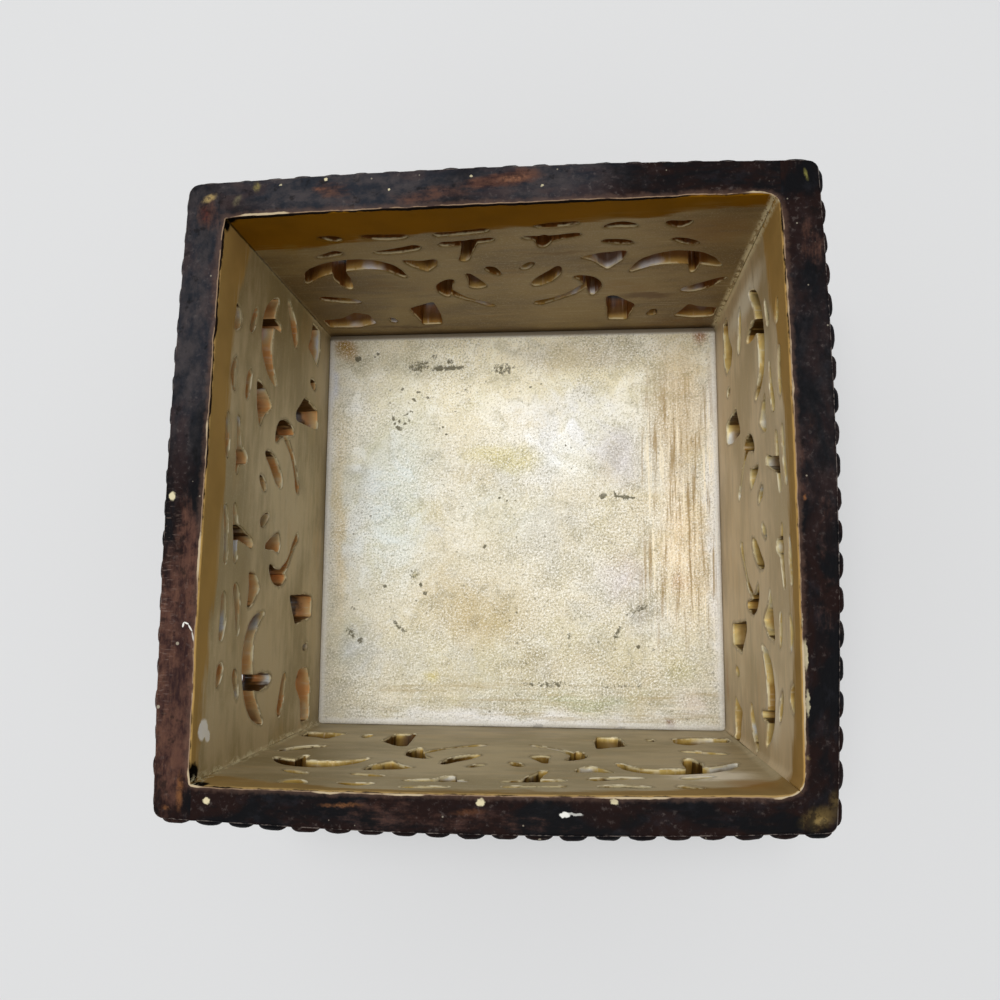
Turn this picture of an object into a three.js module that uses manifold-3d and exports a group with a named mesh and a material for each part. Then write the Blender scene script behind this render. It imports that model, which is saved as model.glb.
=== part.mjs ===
// Trinket box: a square, open box of dark stained wood. Four thick boards, each fretsawn right
// through with one foliate pattern, are butt jointed round an eased floor board. Their outer faces
// swell a little between the corners, and a carved border of shallow lobes runs below the rim.
// Brads hold the corners and the floor.
// Millimetres, +Z up. The origin is the middle of the underside; +Y is the rear board.

import * as THREE from 'three';
import { mergeVertices } from 'three/addons/utils/BufferGeometryUtils.js';
import Module from 'manifold-3d';

const wasm = await Module();
wasm.setup();

// Driving dimensions of the box
const BOX_SIDE = 120; // outside of the boards at the corners, both ways
const BOX_HEIGHT = 81;
const BOARD_THICKNESS = 6.4; // at the corners
const BOARD_SWELL = 1.6; // how much thicker the middle of a board is
const FLOOR_THICKNESS = 6;
const JOINT_GAP = 0.3; // between boards, and round the brads
const CORNER_RADIUS = 1.8; // the upright outer corners
const RIM_EASING = 0.6; // the outer arris of the rim and of the foot
const FLOOR_EASING = 1.4; // the edges of the floor board
const SWELL_STEPS = 4; // facets of a swelling face, and of the corners beside it
const CORNER_STEPS = 2; // facets of a rounded corner between straight sides

// The carved border, a bead moulding cut into shallow lobes
const BORDER_HEIGHT = 4;
const BORDER_DROP = 3.2; // middle of the border, below the rim
const BORDER_STAND = 1.7; // how far a lobe stands out of the board
const BORDER_EASING = 1.1; // how far the border slopes back above and below
const LOBE_PITCH = 6;
const LOBE_DEPTH = 0.7; // how far the cuts between the lobes go in
const LOBE_STEPS = 4; // facets round a lobe

// Brads
const BRAD_LENGTH = 14;
const BRAD_SHANK_RADIUS = 0.6;
const BRAD_HEAD_RADIUS = 1.1;
const BRAD_HEAD_DEPTH = 0.8; // of the countersunk head
const BRAD_POINT = 1.6;
const BRAD_SIDES = 6;
const BRAD_SET = 0.4; // how deep the head is set below the face
const CORNER_BRAD_DROPS = [13.5, 73]; // below the rim, clear of the border and the openings
const FLOOR_BRAD_SPACING = 56;

// How the fret pattern sits on each board: lifted towards the rim, and moved along the board
const FRET_SEATS = {
  rear: { lift: 0, shift: 0 },
  left: { lift: 0.9, shift: 0.4 },
  front: { lift: 4.9, shift: 0 },
  right: { lift: 4.5, shift: 1.8 },
};

// The fret pattern is drawn for a panel of this size, and stretched to the panel that is there
const FRET_PANEL_WIDTH = 106.6;
const FRET_PANEL_DEPTH = 73.5;
const SLOT_TIP = 0.45; // how far a slot's end runs past its last station, in widths
const SLOT_STEPS = 3; // steps between two stations of a curved slot

// Sizes that follow from the driving ones
const HALF_SIDE = BOX_SIDE / 2;
const INNER_HALF = HALF_SIDE - BOARD_THICKNESS;
const CORNER_MIDDLE = HALF_SIDE - BOARD_THICKNESS / 2; // the middle of a board's thickness there
const INNER_SIDE = 2 * INNER_HALF;
const INNER_DEPTH = BOX_HEIGHT - FLOOR_THICKNESS;
const END_BOARD_LENGTH = INNER_SIDE - 2 * JOINT_GAP;
const FLOOR_SIDE = INNER_SIDE - 2 * JOINT_GAP;
const OVERCUT = 1; // how far a cutting tool runs past what it cuts
const QUARTER_TURN = Math.PI / 2;

const STAINED_WOOD = { color: '#2c221e', roughness: 0.62, metalness: 0 };
const PAINTED_FLOOR = { color: '#b4b1a2', roughness: 0.42, metalness: 0.35 };
const BRAD_STEEL = { color: '#6c675e', roughness: 0.5, metalness: 0.9 };

// Solids

function solidOf(geometry) {
  const bare = geometry.clone();
  bare.deleteAttribute('normal');
  bare.deleteAttribute('uv');
  const merged = mergeVertices(bare);
  const vertProperties = new Float32Array(merged.attributes.position.array);
  const triVerts = new Uint32Array(merged.index.array);
  return new wasm.Manifold(new wasm.Mesh({ numProp: 3, vertProperties, triVerts }));
}

function pieceOf(solid, name, finish) {
  const { vertProperties, triVerts } = solid.getMesh();
  const geometry = new THREE.BufferGeometry();
  geometry.setAttribute('position', new THREE.BufferAttribute(new Float32Array(vertProperties), 3));
  geometry.setIndex(new THREE.BufferAttribute(new Uint32Array(triVerts), 1));
  geometry.computeVertexNormals();
  const mesh = new THREE.Mesh(geometry, new THREE.MeshStandardMaterial(finish));
  mesh.name = name;
  return mesh;
}

function join(solids) {
  return solids.reduce((whole, solid) => whole.add(solid));
}

// A block between two corners, each given as [x, y, z]
function block(low, high) {
  const size = high.map((value, axis) => value - low[axis]);
  const geometry = new THREE.BoxGeometry(...size);
  geometry.translate(...low.map((value, axis) => value + size[axis] / 2));
  return solidOf(geometry);
}

// A square slab with rounded corners, swelling sides and eased edges, standing on z = 0
function easedSlab(side, height, cornerRadius, swell, easing) {
  const half = side / 2 - easing;
  const radius = cornerRadius - easing;
  const straight = half - radius;
  const bow = half + 2 * swell; // the middle point of the curve that swells a side
  const outline = new THREE.Shape();
  outline.moveTo(straight, -half);
  outline.absarc(straight, -straight, radius, -QUARTER_TURN, 0);
  outline.quadraticCurveTo(bow, 0, half, straight);
  outline.absarc(straight, straight, radius, 0, QUARTER_TURN);
  outline.quadraticCurveTo(0, bow, -straight, half);
  outline.absarc(-straight, straight, radius, QUARTER_TURN, 2 * QUARTER_TURN);
  outline.quadraticCurveTo(-bow, 0, -half, -straight);
  outline.absarc(-straight, -straight, radius, 2 * QUARTER_TURN, 3 * QUARTER_TURN);
  outline.quadraticCurveTo(0, -bow, straight, -half);
  const geometry = new THREE.ExtrudeGeometry(outline, {
    depth: height - 2 * easing,
    bevelSize: easing,
    bevelThickness: easing,
    bevelSegments: 1,
    curveSegments: swell > 0 ? SWELL_STEPS : CORNER_STEPS,
  });
  geometry.translate(0, 0, easing);
  return solidOf(geometry);
}

// Where the swelling outer face of the board that looks along +Y is, at x
function outerFace(x) {
  return HALF_SIDE + BOARD_SWELL * (1 - (x / HALF_SIDE) ** 2);
}

// The fret pattern: a flowering plant with broad wing leaves, sawn as separate openings.
// x runs along the panel from its middle, and drop is measured down from the rim.

// A slot follows a curved centre line through stations of [x, drop, width]
function slot(...stations) {
  const line = new THREE.SplineCurve(stations.map(([x, drop]) => new THREE.Vector2(x, drop)));
  const widths = new THREE.SplineCurve(stations.map(([, , width], i) => new THREE.Vector2(i, width)));
  const steps = stations.length > 2 ? SLOT_STEPS * (stations.length - 1) : 1;
  const near = [];
  const far = [];
  for (let i = 0; i <= steps; i += 1) {
    const middle = line.getPoint(i / steps);
    const along = line.getTangent(i / steps);
    const across = new THREE.Vector2(-along.y, along.x).multiplyScalar(widths.getPoint(i / steps).y / 2);
    near.push(middle.clone().add(across));
    far.unshift(middle.clone().sub(across));
  }
  const [, , firstWidth] = stations[0];
  const [, , lastWidth] = stations[stations.length - 1];
  const start = line.getPoint(0).addScaledVector(line.getTangent(0), -SLOT_TIP * firstWidth);
  const end = line.getPoint(1).addScaledVector(line.getTangent(1), SLOT_TIP * lastWidth);
  return [start, ...near, end, ...far];
}

// A facet is an opening with straight sides between its corners
function facet(...corners) {
  return corners.map(([x, drop]) => new THREE.Vector2(x, drop));
}

const FRET_PATTERN = [
  // Upper row of slots
  slot([-37.4, 10.9, 1.5], [-34.2, 12, 3.2]),
  slot([-28.2, 11.4, 1.9], [-24, 12.2, 2.9], [-19.8, 12, 2.2]),
  slot([-13.2, 11.9, 2], [-8, 11.6, 1.9], [-2.6, 10.7, 2.1]),
  slot([7.6, 9.9, 1.4], [12, 9.6, 2.2], [16, 9.2, 1.5]),
  slot([21.8, 11.3, 1.5], [24.7, 10.5, 2.7], [27.8, 11.3, 1.5]),
  slot([34.2, 10.2, 1.8], [36.6, 11.3, 3.4], [38.6, 10.2, 1.5]),
  // Second row, two of them with a hanging bud
  slot([-40.6, 20.5, 1.5], [-35.8, 18.7, 2.9]),
  slot([-27.6, 19.3, 1.5], [-23, 19, 2.7], [-18.3, 17.6, 3]),
  slot([-12.8, 16.6, 2.3], [-7, 16.1, 2.5], [-1.8, 15, 2]),
  slot([-6.6, 16, 3.4], [-7.8, 20.6, 2.6], [-9.1, 25, 2.2]),
  slot([5, 14.9, 1.7], [10.5, 15.5, 2.6], [16.3, 14.3, 1.8]),
  slot([9, 15.4, 4.2], [8.5, 19.2, 2.4]),
  slot([21.6, 17.8, 1.7], [24.6, 18.3, 2.6], [27.4, 19.1, 1.8]),
  slot([36.2, 17.9, 1.4], [38.7, 19.2, 2.7], [41.3, 20.5, 1.6]),
  // Wing leaves, each with a small leaf under it
  slot([-47.8, 34.8, 1], [-44, 29.2, 4.6], [-38, 26, 6],
    [-31.4, 25.3, 5.6], [-26.6, 27.6, 4], [-23.9, 33.2, 1.3]),
  slot([-38.4, 28.6, 2.8], [-38.9, 34, 4], [-38.5, 39.2, 1.6]),
  slot([28.3, 34.2, 1.2], [31.8, 29.4, 5.2], [37.2, 27.2, 7.2], [43, 28.6, 6], [47.8, 32.6, 1.4]),
  slot([42.2, 30.6, 2.6], [42.1, 35.4, 1.5]),
  // Buds inside the wings
  facet([-23, 23.5], [-19, 24.5], [-15, 23.7], [-15.2, 27], [-18, 30.8], [-21.5, 27.3]),
  facet([16.2, 25.7], [20.6, 23.7], [26.8, 22.6], [26.2, 27.6], [22.8, 33], [19.8, 28.2]),
  // Flower: two small drops over two petals
  slot([-3.9, 29.8, 3], [-2.2, 33.4, 2]),
  slot([5.8, 27.8, 2.1], [3.9, 30.6, 2.4]),
  facet([-9.7, 32.3], [-8.5, 32.5], [-6.3, 37], [-5.1, 40.6], [-7.6, 42], [-10.1, 41], [-9.5, 37.6]),
  slot([11.7, 30.2, 1.3], [10.5, 34, 3.8], [7.9, 38, 4.3], [6, 40.6, 2.4]),
  // Sepals with their curled stems
  slot([-13.5, 36, 1.9], [-15.4, 38.6, 3.5], [-16, 42.6, 3.6], [-15.7, 46.2, 1.3]),
  slot([-15, 42.4, 2.3], [-12.2, 47.2, 1.7], [-8.2, 50.6, 1.7], [-5.4, 53.3, 2.3]),
  slot([16, 36.2, 2.2], [18.6, 38.2, 4], [20, 42.8, 3.7], [19.7, 47.6, 1.4]),
  slot([18, 41.8, 2.1], [14.6, 46.6, 2], [10.6, 49.8, 2], [6.2, 52.4, 3.2]),
  // Side blades
  slot([-47, 45, 3.2], [-43, 46.5, 3.7], [-39, 48, 3]),
  slot([41.8, 46.4, 3.2], [45.2, 44.6, 4.4], [50, 39.6, 1.8]),
  // Tall pots
  facet([-27, 53.8], [-19.9, 49.2], [-19.5, 60], [-20.2, 66.5], [-25.4, 66.5]),
  facet([23.1, 48.9], [25.1, 48.4], [30.7, 55.2], [29.2, 66.2], [24.2, 66.2]),
  // Small drops beside the pots
  slot([-33, 60.6, 1.6], [-32.8, 63.6, 2.1]),
  slot([35.6, 59.2, 1.8], [35.2, 62.6, 3]),
  // Corner leaves, cut close to the joint
  facet([-51.6, 60.6], [-46, 59.8], [-41.6, 55.4], [-38.3, 57.6], [-37.9, 64.6], [-43, 67.4], [-51.6, 67]),
  facet([41, 64.2], [42.6, 60.4], [43.9, 55.6], [47, 57.9], [51.6, 58.7], [51.6, 65.6], [46, 66.2]),
];

// One opening's outline on a board, in the board's own x and z
function openingShape(outline, seat) {
  const alongScale = INNER_SIDE / FRET_PANEL_WIDTH;
  const dropScale = INNER_DEPTH / FRET_PANEL_DEPTH;
  return new THREE.Shape(outline.map(({ x, y }) => new THREE.Vector2(
    (x + seat.shift) * alongScale,
    BOX_HEIGHT - (y - seat.lift) * dropScale,
  )));
}

function fretCutter(seat) {
  const depth = BOARD_THICKNESS + BOARD_SWELL + BORDER_STAND + 2 * OVERCUT;
  return join(FRET_PATTERN.map((outline) => {
    const geometry = new THREE.ExtrudeGeometry(openingShape(outline, seat), { depth, bevelEnabled: false });
    geometry.rotateX(QUARTER_TURN);
    geometry.translate(0, INNER_HALF - OVERCUT + depth, 0);
    return solidOf(geometry);
  }));
}

// The border on a face that looks along +Y, where faceAt gives the face. Its lobes are drawn in plan
// and the strip is extruded upwards. Quarter turns take it to another side.
function borderStrip(length, middle, faceAt, quarterTurns = 0) {
  const count = Math.max(1, Math.round(length / LOBE_PITCH));
  const along = (lobes) => middle - length / 2 + lobes * length / count;
  const out = (x, stand) => faceAt(x) + stand;
  const root = -BORDER_EASING - OVERCUT;
  const outline = new THREE.Shape();
  outline.moveTo(along(0), out(along(0), root));
  outline.lineTo(along(0), out(along(0), BORDER_STAND - LOBE_DEPTH));
  for (let i = 0; i < count; i += 1) {
    const [crown, cut] = [along(i + 0.5), along(i + 1)];
    outline.quadraticCurveTo(
      crown,
      out(crown, BORDER_STAND + LOBE_DEPTH),
      cut,
      out(cut, BORDER_STAND - LOBE_DEPTH),
    );
  }
  outline.lineTo(along(count), out(along(count), root));
  const geometry = new THREE.ExtrudeGeometry(outline, {
    depth: BORDER_HEIGHT - 2 * BORDER_EASING,
    bevelSize: BORDER_EASING,
    bevelThickness: BORDER_EASING,
    bevelOffset: -BORDER_EASING,
    bevelSegments: 1,
    curveSegments: LOBE_STEPS,
  });
  geometry.translate(0, 0, BOX_HEIGHT - BORDER_DROP - BORDER_HEIGHT / 2 + BORDER_EASING);
  geometry.rotateZ(quarterTurns * QUARTER_TURN);
  return solidOf(geometry);
}

// Brads

// The profile from the point, along -Y, to the countersunk head at the origin, as [radius, y]
function bradProfile(clearance) {
  const tip = -BRAD_LENGTH - clearance;
  return [
    [0, tip],
    [BRAD_SHANK_RADIUS + clearance, tip + BRAD_POINT],
    [BRAD_SHANK_RADIUS + clearance, -BRAD_HEAD_DEPTH - clearance],
    [BRAD_HEAD_RADIUS + clearance, 0],
  ];
}

function lathed(profile) {
  const points = profile.map(([radius, y]) => new THREE.Vector2(radius, y));
  return new THREE.LatheGeometry(points, BRAD_SIDES);
}

function bradGeometry() {
  return lathed([...bradProfile(0), [0, 0]]);
}

// The hole for a brad, open above the head to past the board's face
function bradHoleGeometry() {
  const mouth = BRAD_SET + OVERCUT;
  return lathed([...bradProfile(JOINT_GAP), [BRAD_HEAD_RADIUS + JOINT_GAP, mouth], [0, mouth]]);
}

// Where the brads of a board that looks along +Y have their heads: x, y and z of each
const CORNER_BRAD_SPOTS = [-1, 1].flatMap((end) => CORNER_BRAD_DROPS.map((drop) => (
  bradSpot(end * CORNER_MIDDLE, BOX_HEIGHT - drop)
)));
const FLOOR_BRAD_SPOTS = [-1, 1].map((end) => bradSpot(end * FLOOR_BRAD_SPACING / 2, FLOOR_THICKNESS / 2));

function bradSpot(x, z) {
  return [x, outerFace(x) - BRAD_SET, z];
}

// The holes at the spots of one board, turned to another side by quarter turns
function bradHoles(spots, quarterTurns = 0) {
  return join(spots.map((spot) => {
    const hole = bradHoleGeometry();
    hole.translate(...spot);
    hole.rotateZ(quarterTurns * QUARTER_TURN);
    return solidOf(hole);
  }));
}

// Boards

// The boards look along +Y, -X, -Y and +X: each is made as the rear board, and turned to its side
const BOARDS = [
  { name: 'rear', quarterTurns: 0, runsThrough: false },
  { name: 'left', quarterTurns: 1, runsThrough: true },
  { name: 'front', quarterTurns: 2, runsThrough: false },
  { name: 'right', quarterTurns: 3, runsThrough: true },
];

const boxBlank = easedSlab(BOX_SIDE, BOX_HEIGHT, CORNER_RADIUS, BOARD_SWELL, RIM_EASING);

// The stretch of the box that one board takes, from its inner face out
function boardSpace(halfLength) {
  const outermost = HALF_SIDE + BOARD_SWELL + BORDER_STAND;
  return block([-halfLength, INNER_HALF, 0], [halfLength, outermost, BOX_HEIGHT]);
}

// The left and right boards run through from front to rear, and show their ends there
function throughBoard(seat) {
  const border = join([
    borderStrip(BOX_SIDE, 0, outerFace),
    borderStrip(BOARD_THICKNESS, CORNER_MIDDLE, () => HALF_SIDE, 1),
    borderStrip(BOARD_THICKNESS, -CORNER_MIDDLE, () => HALF_SIDE, 3),
  ]);
  const board = boxBlank.add(border).intersect(boardSpace(HALF_SIDE + BORDER_STAND));
  const holes = bradHoles([...CORNER_BRAD_SPOTS, ...FLOOR_BRAD_SPOTS]);
  return board.subtract(fretCutter(seat)).subtract(holes);
}

// The front and rear boards fit between them, and take the points of their corner brads
function endBoard(seat) {
  const border = borderStrip(END_BOARD_LENGTH, 0, outerFace);
  const board = boxBlank.add(border).intersect(boardSpace(END_BOARD_LENGTH / 2));
  const fromLeft = bradHoles(CORNER_BRAD_SPOTS, 1);
  const fromRight = bradHoles(CORNER_BRAD_SPOTS, 3);
  const holes = join([bradHoles(FLOOR_BRAD_SPOTS), fromLeft, fromRight]);
  return board.subtract(fretCutter(seat)).subtract(holes);
}

// The floor board sits between the four boards, with its underside level with theirs
function floorBoard() {
  const slab = easedSlab(FLOOR_SIDE, FLOOR_THICKNESS, 2 * FLOOR_EASING, 0, FLOOR_EASING);
  const holes = BOARDS.map(({ quarterTurns }) => bradHoles(FLOOR_BRAD_SPOTS, quarterTurns));
  return slab.subtract(join(holes));
}

// The box

const box = new THREE.Group();
box.add(pieceOf(floorBoard(), 'floor_board', PAINTED_FLOOR));

for (const { name, quarterTurns, runsThrough } of BOARDS) {
  const side = new THREE.Group();
  side.rotation.z = quarterTurns * QUARTER_TURN;
  const board = runsThrough ? throughBoard(FRET_SEATS[name]) : endBoard(FRET_SEATS[name]);
  side.add(pieceOf(board, `${name}_board`, STAINED_WOOD));

  const spots = [
    ...(runsThrough ? CORNER_BRAD_SPOTS : []).map((spot, i) => [`${name}_corner_brad_${i + 1}`, spot]),
    ...FLOOR_BRAD_SPOTS.map((spot, i) => [`${name}_floor_brad_${i + 1}`, spot]),
  ];
  for (const [bradName, spot] of spots) {
    const brad = pieceOf(solidOf(bradGeometry()), bradName, BRAD_STEEL);
    brad.position.set(...spot);
    side.add(brad);
  }
  box.add(side);
}

export default box;
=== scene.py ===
import math
from functools import reduce

import bpy
import numpy as np
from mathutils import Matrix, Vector, noise
from mathutils.geometry import delaunay_2d_cdt
from mathutils.kdtree import KDTree


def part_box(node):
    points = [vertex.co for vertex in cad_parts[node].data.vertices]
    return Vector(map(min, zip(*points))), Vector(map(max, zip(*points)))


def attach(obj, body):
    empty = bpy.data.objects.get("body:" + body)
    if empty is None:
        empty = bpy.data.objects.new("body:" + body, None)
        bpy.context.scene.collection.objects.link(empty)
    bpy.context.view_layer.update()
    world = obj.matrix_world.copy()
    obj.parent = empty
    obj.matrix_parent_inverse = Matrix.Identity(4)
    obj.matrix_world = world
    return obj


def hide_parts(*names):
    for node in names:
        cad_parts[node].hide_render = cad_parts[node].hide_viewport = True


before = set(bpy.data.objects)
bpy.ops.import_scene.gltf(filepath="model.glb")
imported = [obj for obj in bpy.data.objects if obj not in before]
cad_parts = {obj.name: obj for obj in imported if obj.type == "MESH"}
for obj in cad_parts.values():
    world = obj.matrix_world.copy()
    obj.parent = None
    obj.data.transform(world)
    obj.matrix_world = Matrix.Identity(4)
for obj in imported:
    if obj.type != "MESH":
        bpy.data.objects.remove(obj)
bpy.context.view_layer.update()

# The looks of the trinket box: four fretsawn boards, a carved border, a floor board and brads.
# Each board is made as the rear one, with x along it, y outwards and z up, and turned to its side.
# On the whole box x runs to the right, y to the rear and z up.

MM = 0.001

# Sizes that the boards share, from the frame and from the boards' driving dimensions
HALF_SIDE = 60 * MM
SWELL = 1.6 * MM
INNER_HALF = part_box("rear_board")[0].y
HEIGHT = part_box("rear_board")[1].z
FLOOR_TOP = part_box("floor_board")[1].z
THICKNESS = HALF_SIDE - INNER_HALF

# The carved border below the rim
LOBE_PITCH = 6 * MM
LOBE_SHARE = 0.93
LOBE_FULLNESS = 0.7
LOBE_UNEVENNESS = 0.12
LOBE_ROUGHNESS = 0.4 * MM
BORDER_DROP = 3.2 * MM
BORDER_STAND = 1.35 * MM
BORDER_HEIGHT = 3.8 * MM

# Roundings of the arrises
RIM_ROUNDING = 0.45 * MM
INNER_ROUNDING = 0.3 * MM
FOOT_ROUNDING = 0.8 * MM
CORNER_ROUNDING = 1.8 * MM
OPENING_ROUNDING_IN = 0.25 * MM
OPENING_ROUNDING_OUT = 0.9 * MM
FLOOR_ROUNDING = 1.1 * MM
FLOOR_EDGE_DROP = 0.35

# Unevenness by hand and by wear: how far the saw, the arrises, the paint and the wood wander
CUT_WANDER = 0.16 * MM
CUT_NOTCHES = 0.06 * MM
SAW_WANDER = 0.16 * MM
ARRIS_WANDER = 0.14 * MM
ARRIS_WANDER_DEPTH = 1.2 * MM
PAINT_SWELL = 0.05 * MM
OUTER_SWELL = 0.07 * MM
RIM_DIPS = 0.1 * MM
RIM_DENTS = 0.03 * MM
FLOOR_DIPS = 0.12 * MM
FLOOR_DENTS = 0.03 * MM

# The faces calm down that near to an inner corner, and the rim was smoothed by hand that far down
CALM_CORNER = 3 * MM
SMOOTHED_RIM = 4 * MM

# Ragged outlines of stains and clouds: how far points are shaken, over which length, and the noise's seed
STAIN_SHAKE = 2.2 * MM
STAIN_SHAKE_LENGTH = 8 * MM
CLOUD_SHAKES = [(2.6 * MM, 9 * MM, 7), (0.9 * MM, 2.6 * MM, 9)]

# The share of a stain or a cloud over which it fades, and where a mark has faded, in half sizes
STAIN_FADE = 0.75
CLOUD_FADE = 0.85
MARK_END = 1.6

# Brad holes, open to the set heads
BRAD_HOLE = 1.4 * MM
BRAD_HOLE_EDGE = 0.12 * MM
BRAD_BED = 0.1 * MM

# How far the rim stands off a true square, in mm. "x" says how far to the right the outer and inner face
# of the left board and the inner and outer face of the right board are, each at the front end, the middle
# and the rear end. "y" says how far to the rear the faces of the front and rear boards are, from the left.
RIM_OFF_SQUARE = {
    "x": [(-0.6, 0.0, -0.1), (-0.2, -0.1, 1.5), (-0.1, 0.45, -0.7), (-0.9, 0.0, 0.5)],
    "y": [(-0.2, 0.1, 0.6), (-0.4, -0.8, 0.7), (-0.8, 0.0, 0.15), (0.3, -0.05, 0.3)],
}

# Radii of the paint that fills the upright inner corners: at the floor and at the rim, in mm
PAINT_FILLETS = {
    "rear_left": (1.2, 0.2),
    "rear_right": (1.4, 2.0),
    "front_right": (1.5, 2.6),
    "front_left": (1.4, 0.2),
}

# The rim's stain. Places are x, y and z in mm, with half sizes beside them.
RIM = HEIGHT / MM

# Grey bloom on the black stain: middle, half sizes, amount
BLOOMED = [
    ((-58, 36, RIM), (13, 46, 60), 0.7), ((-30, 59, RIM), (40, 12, 60), 0.9),
    ((8, 59, RIM), (26, 12, 30), 0.7), ((59, 18, RIM), (10, 44, 60), 0.25),
]

# Stain worn down to red-brown: middle, half sizes, amount
WORN = [
    ((-58, -36, RIM), (9.5, 36, 90), 1.0), ((-57, -12, RIM), (4, 16, 10), 0.8),
    ((-31.5, 58.4, RIM), (8, 3.0, 5), 0.6), ((2, 58.6, RIM), (12, 3.2, 5), 0.95),
    ((-12, 56, RIM), (14, 2.6, 5), 0.55), ((58.3, 44, RIM), (4.4, 9, 5), 0.5),
    ((58.6, -14, RIM), (3.2, 34, 5), 0.32), ((56.5, 4, RIM), (3.2, 14, 5), 0.4),
    ((-6, -59, RIM), (44, 3.0, 5), 0.36), ((-20, -57, RIM), (14, 3.0, 5), 0.42),
    ((-56.5, 53.5, RIM), (4.2, 5.2, 5), 0.65),
]

# Mesh steps
GRID_STEP = 1.0 * MM
FLOOR_STEP = 1.1 * MM
EDGE_MARGIN = 0.2 * MM
SNAP = 1e-8
RING_STEP = 0.42 * MM
LONGEST_CUT = 0.6 * MM
SHARP_ANGLE = math.radians(48)
ROUNDING_STEPS = 5
CORNER_ROWS = [0, 0.15, 0.35, 0.6, 0.9, 1.3, 1.8, 2.4]
OPENING_ROWS = [0.14, 0.34, 0.62, 0.95]
SAWN_ROWS = [0, 0.03, 0.08, 0.16, 0.28, 0.42, 0.58, 0.74, 0.88, 1]
RIM_ROWS = [0, 0.03, 0.06, 0.1, 0.16, 0.24, 0.34, 0.46, 0.58, 0.7, 0.8, 0.88, 0.94, 0.98, 1]
HOLE_ROWS = [0, 0.5, 1.0, 1.4]
HOLE_SPOKES = 18

# Material slots of a fret board
STAINED, PAINTED, SAWN = 0, 1, 2


class Board:
    """One side of the box: where it is turned to, how far it reaches along itself, and its two corners."""

    def __init__(self, name, quarter_turns, runs_through, seed, low_corner, high_corner):
        self.name = name
        self.node = f"{name}_board"
        self.quarter_turns = quarter_turns
        self.angle = quarter_turns * math.pi / 2
        self.runs_through = runs_through
        self.reach = HALF_SIDE if runs_through else INNER_HALF
        self.seed = seed
        self.low_corner = low_corner
        self.high_corner = high_corner


BOARDS = [
    Board("rear", 0, False, 11, "rear_left", "rear_right"),
    Board("left", 1, True, 23, "front_left", "rear_left"),
    Board("front", 2, False, 37, "front_right", "front_left"),
    Board("right", 3, True, 51, "rear_right", "front_right"),
]


# Small helpers

def turned(points, quarter_turns):
    """Points, n by 3, turned about the upright axis by quarter turns."""
    cos, sin = [(1, 0), (0, 1), (-1, 0), (0, -1)][quarter_turns % 4]
    x, y, z = np.asarray(points).T
    return np.stack([cos * x - sin * y, sin * x + cos * y, z], axis=1)


def outer_face(x):
    """Where the swelling outer face is, at a place along the board."""
    return HALF_SIDE + SWELL * (1 - (x / HALF_SIDE) ** 2)


def rounded(distance, radius):
    """How far a rounded arris of that radius falls back, at a distance from the edge."""
    near = np.clip(distance, 0, radius)
    return radius - np.sqrt(np.maximum(radius ** 2 - (radius - near) ** 2, 0))


def waviness(points, wavelength, seed):
    """Smooth noise from -1 to 1 at points, an array of n by 3."""
    offset = Vector((seed * 7.31, seed * 3.17, seed * 1.73))
    return np.array([noise.noise(Vector(p) / wavelength + offset) for p in points])


def off_square(across, along, faces):
    """How far the rim is moved at places across and along, from the rows of RIM_OFF_SQUARE."""
    t = along / HALF_SIDE
    rows = np.array([
        low * t * (t - 1) / 2 + middle * (1 - t * t) + high * t * (t + 1) / 2 for low, middle, high in faces
    ])
    place = np.interp(across, (-HALF_SIDE, -INNER_HALF, INNER_HALF, HALF_SIDE), range(4))
    below = np.minimum(place.astype(int), 2)
    each = np.arange(len(place))
    return MM * (rows[below, each] * (1 - place + below) + rows[below + 1, each] * (place - below))


def settled(points):
    """Points of a true box, n by 3, moved to the real one, whose rim has gone a little off square."""
    x, y, z = points.T
    share = np.clip((z - FLOOR_TOP) / (HEIGHT - FLOOR_TOP), 0, 1)
    moved_x = x + share * off_square(x, y, RIM_OFF_SQUARE["x"])
    moved_y = y + share * off_square(y, x, RIM_OFF_SQUARE["y"])
    return np.stack([moved_x, moved_y, z], axis=1)


def in_ring(points, ring):
    """Which of the points, n by 2, lie inside a closed ring."""
    inside = np.zeros(len(points), bool)
    low, high = ring.min(0), ring.max(0)
    near = np.flatnonzero(np.all((points >= low) & (points <= high), axis=1))
    if len(near) == 0:
        return inside
    px, pz = points[near, 0][:, None], points[near, 1][:, None]
    ax, az = ring[:, 0], ring[:, 1]
    bx, bz = np.roll(ax, -1), np.roll(az, -1)
    spans = (az > pz) != (bz > pz)
    rise = np.where(bz == az, 1e-12, bz - az)
    crossing = ax + (pz - az) * (bx - ax) / rise
    inside[near] = (spans & (px < crossing)).sum(1) % 2 == 1
    return inside


def triangulated(points, sides, kind):
    """Points in mm joined into anticlockwise triangles that keep the sides: the points left, the
    triangles, and the new number of each point."""
    flat, _, triangles, came_from, _, _ = delaunay_2d_cdt(points, sides, [], kind, 1e-5)
    flat = np.array([tuple(p) for p in flat]) * MM
    number = {source: here for here, sources in enumerate(came_from) for source in sources}
    triangles = np.array([tuple(t) for t in triangles])
    a, b, c = (flat[triangles[:, k]] for k in (0, 1, 2))
    twice_area = (b[:, 0] - a[:, 0]) * (c[:, 1] - a[:, 1]) - (c[:, 0] - a[:, 0]) * (b[:, 1] - a[:, 1])
    triangles[twice_area < 0] = triangles[twice_area < 0][:, ::-1]
    return flat, triangles, number


def linked(name, data):
    """A new object in the scene."""
    made = bpy.data.objects.new(name, data)
    bpy.context.scene.collection.objects.link(made)
    return made


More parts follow.
